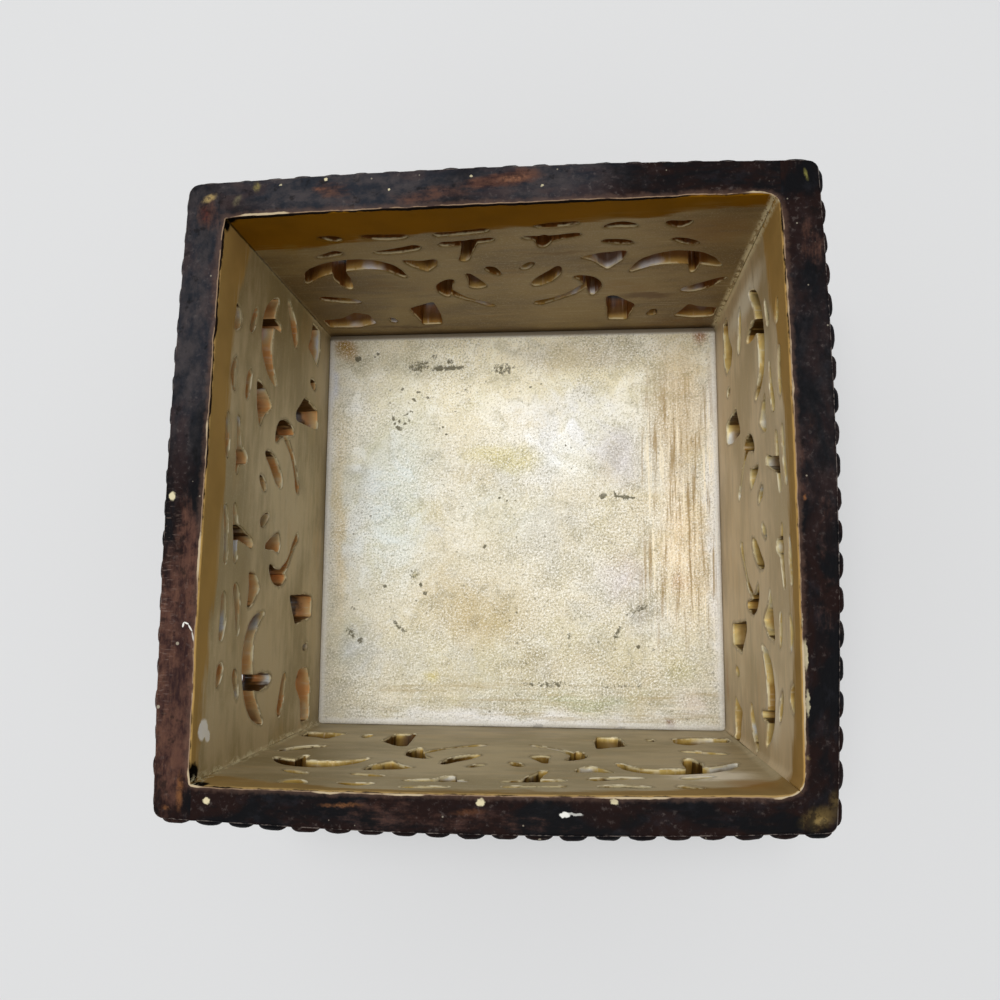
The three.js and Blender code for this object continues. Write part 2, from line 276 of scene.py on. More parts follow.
def mesh_object(name, vertices, faces, materials=(), face_materials=None):
    mesh = bpy.data.meshes.new(name)
    mesh.from_pydata([tuple(v) for v in vertices], [], [tuple(f) for f in faces])
    for material in materials:
        mesh.materials.append(material)
    if face_materials is not None:
        mesh.polygons.foreach_set("material_index", np.array(face_materials, np.int32))
    mesh.polygons.foreach_set("use_smooth", np.ones(len(mesh.polygons), bool))
    mesh.update()
    return linked(name, mesh)


def vertices_of(mesh):
    found = np.zeros(3 * len(mesh.vertices), np.float32)
    mesh.vertices.foreach_get("co", found)
    return found.reshape(-1, 3).astype(float)


def point_attribute(mesh, name, values):
    attribute = mesh.attributes.new(name, "FLOAT", "POINT")
    attribute.data.foreach_set("value", np.array(values, np.float32))


# The openings, read from the CAD boards

def cad_rings(board):
    """The outlines of a board's openings on its inner face, each as a ring of (along, up)."""
    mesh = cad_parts[board.node].data
    number_of, points, number = {}, [], []
    for local in turned(vertices_of(mesh), -board.quarter_turns):
        key = tuple(np.round(local, 6))
        if key not in number_of:
            number_of[key] = len(points)
            points.append(local)
        number.append(number_of[key])
    on_face = [abs(p[1] - INNER_HALF) < 3e-6 for p in points]
    sides = set()
    for polygon in mesh.polygons:
        corners = [number[i] for i in polygon.vertices]
        if all(on_face[c] for c in corners):
            sides.update(zip(corners, corners[1:] + corners[:1]))
    after = {a: b for a, b in sorted(sides) if (b, a) not in sides}
    rings = []
    while after:
        start, here = after.popitem()
        ring = [start]
        while here != start:
            ring.append(here)
            here = after.pop(here)
        rings.append(np.array([(points[i][0], points[i][2]) for i in ring]))
    rings.sort(key=lambda ring: -np.ptp(ring[:, 0]))
    return rings[1:]


def signed_area(ring):
    following = np.roll(ring, -1, axis=0)
    return 0.5 * np.sum(ring[:, 0] * following[:, 1] - following[:, 0] * ring[:, 1])


def eased(ring, longest_cut):
    """The ring with its corners cut three times, and no cut longer than the longest one."""
    for _ in range(3):
        following = np.roll(ring, -1, axis=0)
        length = np.linalg.norm(following - ring, axis=1, keepdims=True)
        share = np.minimum(0.25, longest_cut / np.maximum(length, 1e-9))
        ring = np.stack([ring + (following - ring) * share, following - (following - ring) * share], axis=1)
        ring = ring.reshape(-1, 2)
    return ring


def evenly(ring, step):
    """The ring with points at even steps."""
    closed = np.vstack([ring, ring[:1]])
    travelled = np.concatenate([[0], np.cumsum(np.linalg.norm(np.diff(closed, axis=0), axis=1))])
    count = max(8, round(travelled[-1] / step))
    at = np.linspace(0, travelled[-1], count, endpoint=False)
    return np.stack([np.interp(at, travelled, closed[:, k]) for k in (0, 1)], axis=1)


def outward(ring):
    """The directions that point away from the opening, along the ring. The ring runs anticlockwise."""
    tangent = np.roll(ring, -1, axis=0) - np.roll(ring, 1, axis=0)
    normal = np.stack([tangent[:, 1], -tangent[:, 0]], axis=1)
    return normal / np.maximum(np.linalg.norm(normal, axis=1, keepdims=True), 1e-12)


def sawn_rings(board):
    """The openings as they were really sawn: softer than the CAD outlines, and a little unsteady."""
    rings = []
    for ring in cad_rings(board):
        if signed_area(ring) < 0:
            ring = ring[::-1]
        ring = evenly(eased(ring, LONGEST_CUT), RING_STEP)
        place = np.stack([ring[:, 0], np.zeros(len(ring)), ring[:, 1]], axis=1)
        unsteady = CUT_WANDER * waviness(place, 2.6 * MM, board.seed)
        notched = CUT_NOTCHES * waviness(place, 0.8 * MM, board.seed + 1)
        rings.append(ring + outward(ring) * (unsteady + notched)[:, None])
    return rings


# Boards

def graded(low, high, step, low_radius, high_radius):
    """Places from low to high at even steps, closer together on the rounded arrises."""
    angles = np.linspace(0, math.pi / 2, ROUNDING_STEPS + 1)
    near_low = low + low_radius * (1 - np.cos(angles))
    near_high = high - high_radius * (1 - np.cos(angles))
    start, end = near_low.max(), near_high.min()
    between = np.linspace(start, end, max(2, round((end - start) / step)) + 1)[1:-1]
    return np.unique(np.concatenate([near_low, between, near_high]).round(8))


def places_along(board):
    """The grid lines along a board, closer together beside the inner corners and the outer ones."""
    half = [*np.arange(0, INNER_HALF - 3 * MM, GRID_STEP), *(INNER_HALF - row * MM for row in CORNER_ROWS)]
    if board.runs_through:
        half += list(graded(INNER_HALF, HALF_SIDE, GRID_STEP, 0, CORNER_ROUNDING))
    return np.unique(np.round([side * x for x in half for side in (-1, 1)], 8))


def brads_of(board):
    """Where a board's brads have their heads, as (along, head plane, up)."""
    spots = []
    for name in sorted(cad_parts):
        if name.startswith(board.name) and "brad" in name:
            low, high = np.sort(turned(np.array(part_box(name)), -board.quarter_turns), axis=0)
            spots.append(((low[0] + high[0]) / 2, high[1], (low[2] + high[2]) / 2))
    return spots


def paint_fillet(board, x, z):
    """How far the paint in the upright corners stands into the box, on this board's side of the corner."""
    share = np.clip((z - FLOOR_TOP) / (HEIGHT - FLOOR_TOP), 0, 1)
    low_foot, low_rim = PAINT_FILLETS[board.low_corner]
    high_foot, high_rim = PAINT_FILLETS[board.high_corner]
    foot = np.where(x < 0, low_foot, high_foot)
    rim = np.where(x < 0, low_rim, high_rim)
    radius = MM * (foot + (rim - foot) * share)
    to_corner = np.clip(INNER_HALF - np.abs(x), 0, None)
    near = np.minimum(to_corner, radius)
    arc = radius - np.sqrt(np.maximum(radius ** 2 - (radius - near) ** 2, 0))
    return np.minimum(arc, to_corner)


def past_arris(board, points, depth):
    """How far points are outside the inner arris. It turns round the fillets in the corners of the rim."""
    x, y = points[:, 0], points[:, 1]
    low, high = (PAINT_FILLETS[corner][1] * MM for corner in (board.low_corner, board.high_corner))
    radius = np.where(x < 0, low, high)
    u, v = np.abs(x) - INNER_HALF + radius, y - INNER_HALF + radius
    return np.where((u > 0) & (v > 0), np.hypot(u, v) - radius, depth)


def eased_end(x, z):
    """Rounds the outline of a through board where its ends meet the rim and the foot."""
    u = np.clip(1 - (HALF_SIDE - np.abs(x)) / RIM_ROUNDING, 0, 1)
    v = np.clip(1 - np.minimum(HEIGHT - z, z) / RIM_ROUNDING, 0, 1)
    shrink = np.maximum(u, v) / np.maximum(np.hypot(u, v), 1e-9)
    both = (u > 0) & (v > 0)
    moved_x = np.where(both, np.sign(x) * (HALF_SIDE - RIM_ROUNDING * (1 - u * shrink)), x)
    from_level = RIM_ROUNDING * (1 - v * shrink)
    moved_z = np.where(both, np.where(z > HEIGHT / 2, HEIGHT - from_level, from_level), z)
    return moved_x, moved_z


class Layout:
    """The points and triangles that both faces of a board share, laid round its openings and brads."""

    def __init__(self, board):
        self.board = board
        self.rings = sawn_rings(board)
        self.brads = brads_of(board)
        ring_points = np.vstack(self.rings)
        self.tree = KDTree(len(ring_points))
        for i, (x, z) in enumerate(ring_points):
            self.tree.insert((x, z, 0), i)
        self.tree.balance()
        points = np.vstack([self.grid(), *self.rows_round_openings(), *self.rows_round_brads()])
        loops, sides, start = [], [], len(points)
        for ring in self.rings:
            loop = list(range(start, start + len(ring)))
            loops.append(loop)
            sides += zip(loop, loop[1:] + loop[:1])
            start += len(ring)
        everything = [Vector(p) for p in np.vstack([points, ring_points]) / MM]
        self.flat, triangles, number = triangulated(everything, sides, 0)
        self.triangles = triangles[~self.in_any_ring(self.flat[triangles].mean(1))]
        self.loops = [[number[i] for i in loop] for loop in loops]

    def from_opening(self, points):
        return np.array([self.tree.find((x, z, 0))[2] for x, z in points])

    def from_brad(self, points):
        return np.min([np.hypot(points[:, 0] - x, points[:, 1] - z) for x, _, z in self.brads], axis=0)

    def in_any_ring(self, points):
        return np.logical_or.reduce([in_ring(points, ring) for ring in self.rings])

    def grid(self):
        """Grid points clear of the openings and the brads, and all of those on the outline."""
        xs = places_along(self.board)
        zs = graded(0, HEIGHT, GRID_STEP, FOOT_ROUNDING, RIM_ROUNDING)
        grid = np.array([(x, z) for z in zs for x in xs])
        x, z = grid.T
        on_edge = (x <= xs[0]) | (x >= xs[-1]) | (z <= zs[0]) | (z >= zs[-1])
        clear = (self.from_opening(grid) > 0.75 * RING_STEP) & ~self.in_any_ring(grid)
        clear &= self.from_brad(grid) > BRAD_HOLE + 3 * BRAD_HOLE_EDGE
        return grid[on_edge | clear]

    def rows_round_openings(self):
        rows = []
        for offset in OPENING_ROWS:
            for ring in self.rings:
                row = ring + outward(ring) * offset * MM
                x, z = row.T
                row = row[(np.abs(x) < self.board.reach - EDGE_MARGIN) & (z > EDGE_MARGIN)
                          & (z < HEIGHT - EDGE_MARGIN)]
                if len(row):
                    rows.append(row[(self.from_opening(row) > 0.9 * offset * MM) & ~self.in_any_ring(row)])
        return rows

    def rows_round_brads(self):
        rows = []
        spokes = np.linspace(0, 2 * math.pi, HOLE_SPOKES, endpoint=False)
        for x, _, z in self.brads:
            for radius in (*(r * MM for r in HOLE_ROWS), BRAD_HOLE + BRAD_HOLE_EDGE):
                turn = spokes if radius > 0 else spokes[:1]
                rows.append(np.stack([x + radius * np.cos(turn), z + radius * np.sin(turn)], axis=1))
        return rows

    def outline(self):
        """The points on the board's outline, in turn."""
        x, z = self.flat.T

        def in_order(chosen, by):
            return sorted(np.flatnonzero(chosen), key=lambda i: by[i])

        between = (z > SNAP) & (z < HEIGHT - SNAP)
        return (
            in_order(z < SNAP, x) + in_order((x > self.board.reach - SNAP) & between, z)
            + in_order(z > HEIGHT - SNAP, -x) + in_order((x < SNAP - self.board.reach) & between, -z)
        )[::-1]


class Shell:
    """A board's skin: its inner and outer face, and the strips that close the gap along loops of points."""

    def __init__(self, near, far, triangles):
        self.count = len(near)
        self.vertices = [near, far]
        self.depth = [np.zeros(self.count), (far - near)[:, 1]]
        self.faces = [tuple(t) for t in triangles]
        self.faces += [tuple(self.count + i for i in reversed(t)) for t in triangles]
        self.slots = [PAINTED] * len(triangles) + [STAINED] * len(triangles)

    def close(self, loop, rows, slot, push):
        """One strip along a loop, with a row of points at each share of the way. Push moves a row aside."""
        loop = np.array(loop)
        near, far = self.vertices[0][loop], self.vertices[1][loop]
        total = sum(len(part) for part in self.vertices)
        levels = [loop]
        for share in rows[1:-1]:
            row = near + (far - near) * share
            self.vertices.append(row + push(row, share))
            self.depth.append((far - near)[:, 1] * share)
            levels.append(np.arange(total, total + len(loop)))
            total += len(loop)
        levels.append(loop + self.count)
        for low, high in zip(levels, levels[1:]):
            self.faces += zip(low, high, np.roll(high, -1), np.roll(low, -1))
            self.slots += [slot] * len(loop)


def face_planes(board, flat, to_opening):
    """How far out the inner and the outer face lie at each place of the layout."""
    x, z = flat.T
    to_corner = INNER_HALF - np.abs(x)
    place = np.stack([x, np.zeros(len(x)), z], axis=1)
    along = place * np.array([1, 0, 0])
    away_from_corner = np.clip(to_corner / CALM_CORNER, 0, 1)

    # Paint with soft corners, and a slightly wandering inner arris
    inner = INNER_HALF + rounded(HEIGHT - z, INNER_ROUNDING) * away_from_corner
    inner += rounded(to_opening, OPENING_ROUNDING_IN)
    wander = waviness(along, 3.2 * MM, board.seed + 4) + 0.6 * waviness(along, 1.1 * MM, board.seed + 5)
    inner += ARRIS_WANDER * wander * away_from_corner * np.exp(-(HEIGHT - z) / ARRIS_WANDER_DEPTH)
    inner += PAINT_SWELL * (1 + waviness(place, 9 * MM, board.seed + 2)) * away_from_corner
    inner = np.where(to_corner <= 1e-7, INNER_HALF, inner - paint_fillet(board, x, z))

    end_rounding = CORNER_ROUNDING if board.runs_through else 1e-9
    outer = outer_face(x) - rounded(HEIGHT - z, RIM_ROUNDING) - rounded(z, FOOT_ROUNDING)
    outer -= rounded(to_opening, OPENING_ROUNDING_OUT) + rounded(board.reach - np.abs(x), end_rounding)
    outer -= OUTER_SWELL * (1 + waviness(place, 7 * MM, board.seed + 3)) * away_from_corner
    return inner, outer


def stood_up(board, points):
    """A board's points in the box, which has settled, and whose rim was smoothed by hand."""
    made = points.copy()
    if board.runs_through:
        # Its ends follow the swell of the neighbouring sides
        beyond = np.clip((np.abs(made[:, 0]) - INNER_HALF) / THICKNESS, 0, 1)
        swell = outer_face(np.clip(made[:, 1], INNER_HALF, HALF_SIDE)) - HALF_SIDE
        made[:, 0] += np.sign(made[:, 0]) * beyond * swell
    made = settled(turned(made, board.quarter_turns))
    at_rim = np.clip((made[:, 2] - HEIGHT) / SMOOTHED_RIM + 1, 0, 1)
    on_plan = made * np.array([1, 1, 0])
    hand = RIM_DIPS * (1 + waviness(on_plan, 11 * MM, 5)) + RIM_DENTS * (1 + waviness(on_plan, 2.4 * MM, 6))
    made[:, 2] -= at_rim * hand
    return made


def make_board(board, materials):
    """A fretsawn board, with what its materials need to know as attributes of its mesh."""
    layout = Layout(board)
    flat, count = layout.flat, len(layout.flat)
    to_opening = layout.from_opening(flat)
    inner, outer = face_planes(board, flat, to_opening)
    x, z = eased_end(*flat.T) if board.runs_through else flat.T
    shell = Shell(np.stack([x, inner, z], axis=1), np.stack([x, outer, z], axis=1), layout.triangles)

    for ring, loop in zip(layout.rings, layout.loops):

        def sawing(row, share, away=outward(ring)):
            spot = row * np.array([1, 0.25, 1])
            wave = waviness(spot, 1.5 * MM, board.seed + 6) + 0.5 * waviness(spot, 0.6 * MM, board.seed + 7)
            bow = SAW_WANDER * wave * min(1, 6 * share, 6 * (1 - share))
            return np.stack([away[:, 0] * bow, np.zeros(len(row)), away[:, 1] * bow], axis=1)

        shell.close(loop, SAWN_ROWS, SAWN, sawing)
    shell.close(layout.outline(), RIM_ROWS, STAINED, lambda row, _: 0)

    points = np.vstack(shell.vertices)
    depth = np.concatenate(shell.depth)
    outside = past_arris(board, points, depth)
    made = stood_up(board, points)

    # The holes of the brads, down to beside the heads
    local = turned(made, -board.quarter_turns)
    for brad_x, head, brad_z in layout.brads:
        in_hole = np.hypot(flat[:, 0] - brad_x, flat[:, 1] - brad_z) < BRAD_HOLE + 1e-6
        local[count:2 * count][in_hole, 1] = head - BRAD_BED
    made = turned(local, board.quarter_turns)

    piece = mesh_object(f"{board.name}_fret_board", made, shell.faces, materials, shell.slots)
    stain_attributes(piece.data, made)
    corner = INNER_HALF - np.abs(turned(made, -board.quarter_turns)[:, 0])
    corner[:count] = INNER_HALF - np.abs(flat[:, 0])
    spare = np.zeros(len(made) - 2 * count)
    for name, values in (("depth", depth), ("past_arris", outside), ("to_corner", corner),
                         ("to_opening", np.concatenate([to_opening, to_opening, spare]))):
        point_attribute(piece.data, name, values)
    piece.data.set_sharp_from_angle(angle=SHARP_ANGLE)
    return piece


def elliptic(points, centre, half_sizes, turn=0):
    """How far points are from the middle of an ellipse or ellipsoid in mm: 1 on its outline."""
    angle = math.radians(turn)
    away = points / MM - np.array(centre)
    along = away[:, 0] * math.cos(angle) + away[:, 1] * math.sin(angle)
    across = away[:, 1] * math.cos(angle) - away[:, 0] * math.sin(angle)
    away[:, 0], away[:, 1] = along, across
    return np.linalg.norm(away / np.array(half_sizes), axis=1)


def smooth(share):
    """A share from 0 to 1 with a soft start and end."""
    share = np.clip(share, 0, 1)
    return share * share * (3 - 2 * share)


def stain_attributes(mesh, points):
    """Where the stain has bloomed and where it is worn, as attributes of the mesh."""
    shake = [waviness(points, STAIN_SHAKE_LENGTH, seed) for seed in (31, 32, 33)]
    shaken = points + STAIN_SHAKE * np.stack(shake, axis=1)
    for name, places in (("bloom", BLOOMED), ("worn", WORN)):
        found = np.zeros(len(points))
        for middle, half_sizes, amount in places:
            share = smooth((1 - elliptic(shaken, middle, half_sizes)) / STAIN_FADE)
            found = np.maximum(found, amount * share)
        point_attribute(mesh, name, found)


# Materials

def colour(red, green, blue):
    """A colour written as 0 to 255, as the eye sees it, in the linear values that the shader takes."""
    linear = [((c / 255 + 0.055) / 1.055) ** 2.4 if c > 10 else c / 255 / 12.92 for c in (red, green, blue)]
    return (*linear, 1)


class Wiring:
    """A node tree while it is wired. Each method adds a node and gives its output."""

    def __init__(self, tree):
        self.tree = tree

    def feed(self, socket, value):
        """Links an output, or sets a value. A colour of three numbers is one from 0 to 255."""
        if isinstance(value, bpy.types.NodeSocket):
            self.tree.links.new(value, socket)
        elif socket.type == "RGBA" and len(value) == 3:
            socket.default_value = colour(*value)
        else:
            socket.default_value = value

    def node(self, kind, *values, **settings):
        """A node with its first inputs fed in order. None leaves an input as it is."""
        made = self.tree.nodes.new(kind)
        for key, value in settings.items():
            setattr(made, key, value)
        for socket, value in zip(made.inputs, values):
            if value is not None:
                self.feed(socket, value)
        return made

    def named(self, kind, **sockets):
        """A node with the inputs of those names fed."""
        made = self.tree.nodes.new(kind)
        for key, value in sockets.items():
            self.feed(made.inputs[key], value)
        return made

    def math(self, operation, *values):
        return self.node("ShaderNodeMath", *values, operation=operation).outputs[0]

    def vectors(self, operation, *values):
        return self.node("ShaderNodeVectorMath", *values, operation=operation).outputs[0]


class Finish(Wiring):
    """A material while it is wired. Its place is turned so that x runs along the board it is for."""

    def __init__(self, name, angle=0.0):
        self.material = bpy.data.materials.new(name)
        self.material.use_nodes = True
        super().__init__(self.material.node_tree)
        self.tree.nodes.clear()
        self.shader = self.node("ShaderNodeBsdfPrincipled")
        self.node("ShaderNodeOutputMaterial", self.shader.outputs[0])
        place = self.node("ShaderNodeTexCoord").outputs["Object"]
        self.place = self.node("ShaderNodeMapping", place, None, (0, 0, -angle)).outputs[0]
        self.x, self.y, self.z = self.node("ShaderNodeSeparateXYZ", self.place).outputs
        self.ragged = self.centred(self.noise(self.place, 700, 3.0, 0.6))
        self.base = None

    def add(self, *values):
        return reduce(lambda total, value: self.math("ADD", total, value), values)

    def times(self, *values):
        return reduce(lambda product, value: self.math("MULTIPLY", product, value), values)

    def highest(self, *values):
        return reduce(lambda found, value: self.math("MAXIMUM", found, value), values)

    def less(self, value, other):
        return self.math("SUBTRACT", value, other)

    def centred(self, value, by=None):
        """A value from 0 to 1 moved to lie about 0, and stretched to that width."""
        value = self.less(value, 0.5)
        return value if by is None else self.times(value, by)

    def frayed(self, distance, by):
        """A distance that wanders by that much, so that an edge drawn with it is ragged."""
        return self.add(distance, self.times(self.ragged, by))

    def step(self, value, low, high, most=1.0):
        """0 below low and the most above high, with a smooth rise between. High may be the lower one."""
        return self.node("ShaderNodeMapRange", value, low, high, 0.0, most, interpolation_type="SMOOTHSTEP",
                         clamp=False).outputs[0]

    def stretched(self, x, y, z, shift=0.0):
        """The place on the piece, scaled by x, y and z."""
        return self.node("ShaderNodeMapping", self.place, (shift, 0.7 * shift, 0.3 * shift), None,
                         (x, y, z)).outputs[0]

    def noise(self, place, scale, detail=3.0, roughness=0.5, distortion=0.0):
        return self.named("ShaderNodeTexNoise", Vector=place, Scale=scale, Detail=detail,
                          Roughness=roughness, Distortion=distortion).outputs["Fac"]

    def specks(self, place, scale, size, share):
        """Small round specks in a share of the cells."""
        cells = self.named("ShaderNodeTexVoronoi", Vector=place, Scale=scale)
        own = self.node("ShaderNodeSeparateColor", cells.outputs["Color"]).outputs[0]
        return self.times(self.step(cells.outputs["Distance"], size, 0.6 * size),
                          self.math("GREATER_THAN", own, 1 - share))

    def shaken(self, scale, detail, by):
        """The place on the piece, shaken by noise, so that what is drawn there has a ragged edge."""
        shake = self.named("ShaderNodeTexNoise", Vector=self.place, Scale=scale, Detail=detail,
                           Roughness=0.6)
        shake = self.vectors("SUBTRACT", shake.outputs["Color"], (0.5, 0.5, 0.5))
        return self.vectors("MULTIPLY_ADD", shake, (by, by, by), self.place)

    def spot(self, place, centre, size, turn=0, soft=0.3, amount=1.0):
        """The amount on a spot with that middle and half sizes in mm, turned in degrees about z."""
        made = self.node("ShaderNodeMapping", place, [c * MM for c in centre], (0, 0, math.radians(turn)),
                         [s * MM for s in size], vector_type="TEXTURE")
        distance = self.node("ShaderNodeVectorMath", made.outputs[0], operation="LENGTH").outputs["Value"]
        return self.step(distance, 1.0, 1.0 - soft, amount)

    def ramp(self, value, stops, interpolation="LINEAR"):
        """A value led through stops, each with a colour or a plain number."""
        stops = list(stops)
        made = self.node("ShaderNodeValToRGB", value)
        made.color_ramp.interpolation = interpolation
        elements = made.color_ramp.elements
        while len(elements) < len(stops):
            elements.new(0.5)
        for element, (at, tint) in zip(elements, stops):
            element.position = at
            element.color = colour(*tint) if isinstance(tint, tuple) else (tint, tint, tint, 1)
        return made.outputs[0]

    def mix(self, share, first, second, blend="MIX"):
        made = self.node("ShaderNodeMix", data_type="RGBA", blend_type=blend)
        for index, value in ((0, share), (6, first), (7, second)):
            self.feed(made.inputs[index], value)
        return made.outputs[2]

    def coat(self, tint, *shares):
        """A coat of paint over the base, as thick as the product of the shares."""
        self.base = self.mix(self.times(*shares), self.base, tint)

    def attribute(self, name):
        return self.node("ShaderNodeAttribute", attribute_name=name).outputs["Fac"]

    def upwards(self):
        """How far the surface faces up: 1 where it is level."""
        facing = self.node("ShaderNodeNewGeometry").outputs["Normal"]
        return self.node("ShaderNodeSeparateXYZ", facing).outputs[2]

    def bump(self, height, strength, depth=0.1 * MM):
        return self.named("ShaderNodeBump", Height=height, Distance=depth, Strength=strength).outputs[0]

    def finish(self, roughness, normal=None, metallic=0.0, specular=0.5):
        """The material, with the base as it is now."""
        for name, value in (("Base Color", self.base), ("Roughness", roughness), ("Metallic", metallic),
                            ("Specular IOR Level", specular), ("Normal", normal)):
            if value is not None:
                self.feed(self.shader.inputs[name], value)
        return self.material


# Marks on the rim: middle, half sizes, turn, colour, amount
CREAM, WHITE = (222, 210, 172), (236, 234, 226)
GOLD, RUST, OCHRE = (166, 142, 92), (96, 48, 38), (128, 84, 50)
RIM_MARKS = [
    ((-60.1, -1.7), (0.8, 1.0), 0, CREAM, 1.0), ((-50.7, -56.9), (0.75, 0.7), 0, CREAM, 1.0),
    ((-1.2, -55.9), (0.95, 0.8), 0, CREAM, 1.0), ((21.9, -55.2), (0.9, 0.55), -15, CREAM, 0.9),
    ((13.4, -57.6), (1.1, 0.55), 5, WHITE, 1.0), ((15.3, -57.5), (1.7, 0.3), -3, WHITE, 0.55),
    ((61.6, -12.6), (0.4, 0.6), 0, WHITE, 0.9), ((55.7, -2.6), (0.4, 0.8), 0, OCHRE, 0.9),
    ((-32.5, 60.2), (0.45, 0.45), 0, CREAM, 1.0), ((-20, 57.7), (0.3, 0.3), 0, CREAM, 0.9),
    ((-41.5, 59.4), (0.4, 0.3), 0, CREAM, 0.6), ((-4.0, 59.6), (0.35, 0.3), 0, CREAM, 0.7),
    ((9.6, 57.2), (0.35, 0.3), 0, CREAM, 0.7), ((-55.8, 57.2), (2.1, 1.0), 25, GOLD, 0.95),
    ((-46.3, 59.2), (1.1, 1.6), 0, (134, 122, 72), 0.75),
    ((-50.2, 56.6), (1.0, 1.8), -30, (120, 112, 84), 0.5), ((-56.5, 53.8), (1.4, 2.2), 10, RUST, 0.6),
    ((58.2, 57.5), (0.5, 1.7), 10, (140, 134, 70), 0.7), ((56.2, -57.4), (1.8, 0.9), 15, GOLD, 0.9),
    ((56, -57), (4.2, 2.4), 20, (112, 92, 52), 0.7), ((59, -54), (1.6, 2.4), 0, (104, 86, 50), 0.5),
    ((54.6, -47.2), (0.7, 0.5), 0, GOLD, 0.6), ((-55.8, -55.4), (0.9, 4.6), 0, OCHRE, 0.8),
    ((-58.2, -58.2), (1.1, 0.6), -20, OCHRE, 0.6), ((-26, -57), (5.2, 0.55), 2, OCHRE, 0.7),
    ((-3.5, -57.6), (4.2, 0.8), 4, (104, 66, 42), 0.5),
    ((4.0, 58.9), (4.0, 1.0), 3, (150, 104, 76), 0.7),
    ((-33.8, 58.4), (2.0, 0.6), 0, (130, 84, 60), 0.6), ((54.8, -30), (0.5, 3.2), 0, CREAM, 0.7),
    ((54.9, -38), (0.45, 2.6), 0, CREAM, 0.6), ((54.3, -24), (0.35, 1.6), 0, CREAM, 0.6),
]

# A white thread stuck to the left rail, as short strokes: middle, half sizes, turn
THREAD = [
    ((-54.7, -27.9), (0.17, 1.1), 14),
    ((-55.3, -26.3), (0.17, 0.85), 34),
    ((-56.1, -25.4), (0.17, 0.6), 66),
    ((-56.7, -25.7), (0.2, 0.55), -12),
]

# How far above and below the rim a mark reaches, in mm
MARK_DEPTH = 1.2


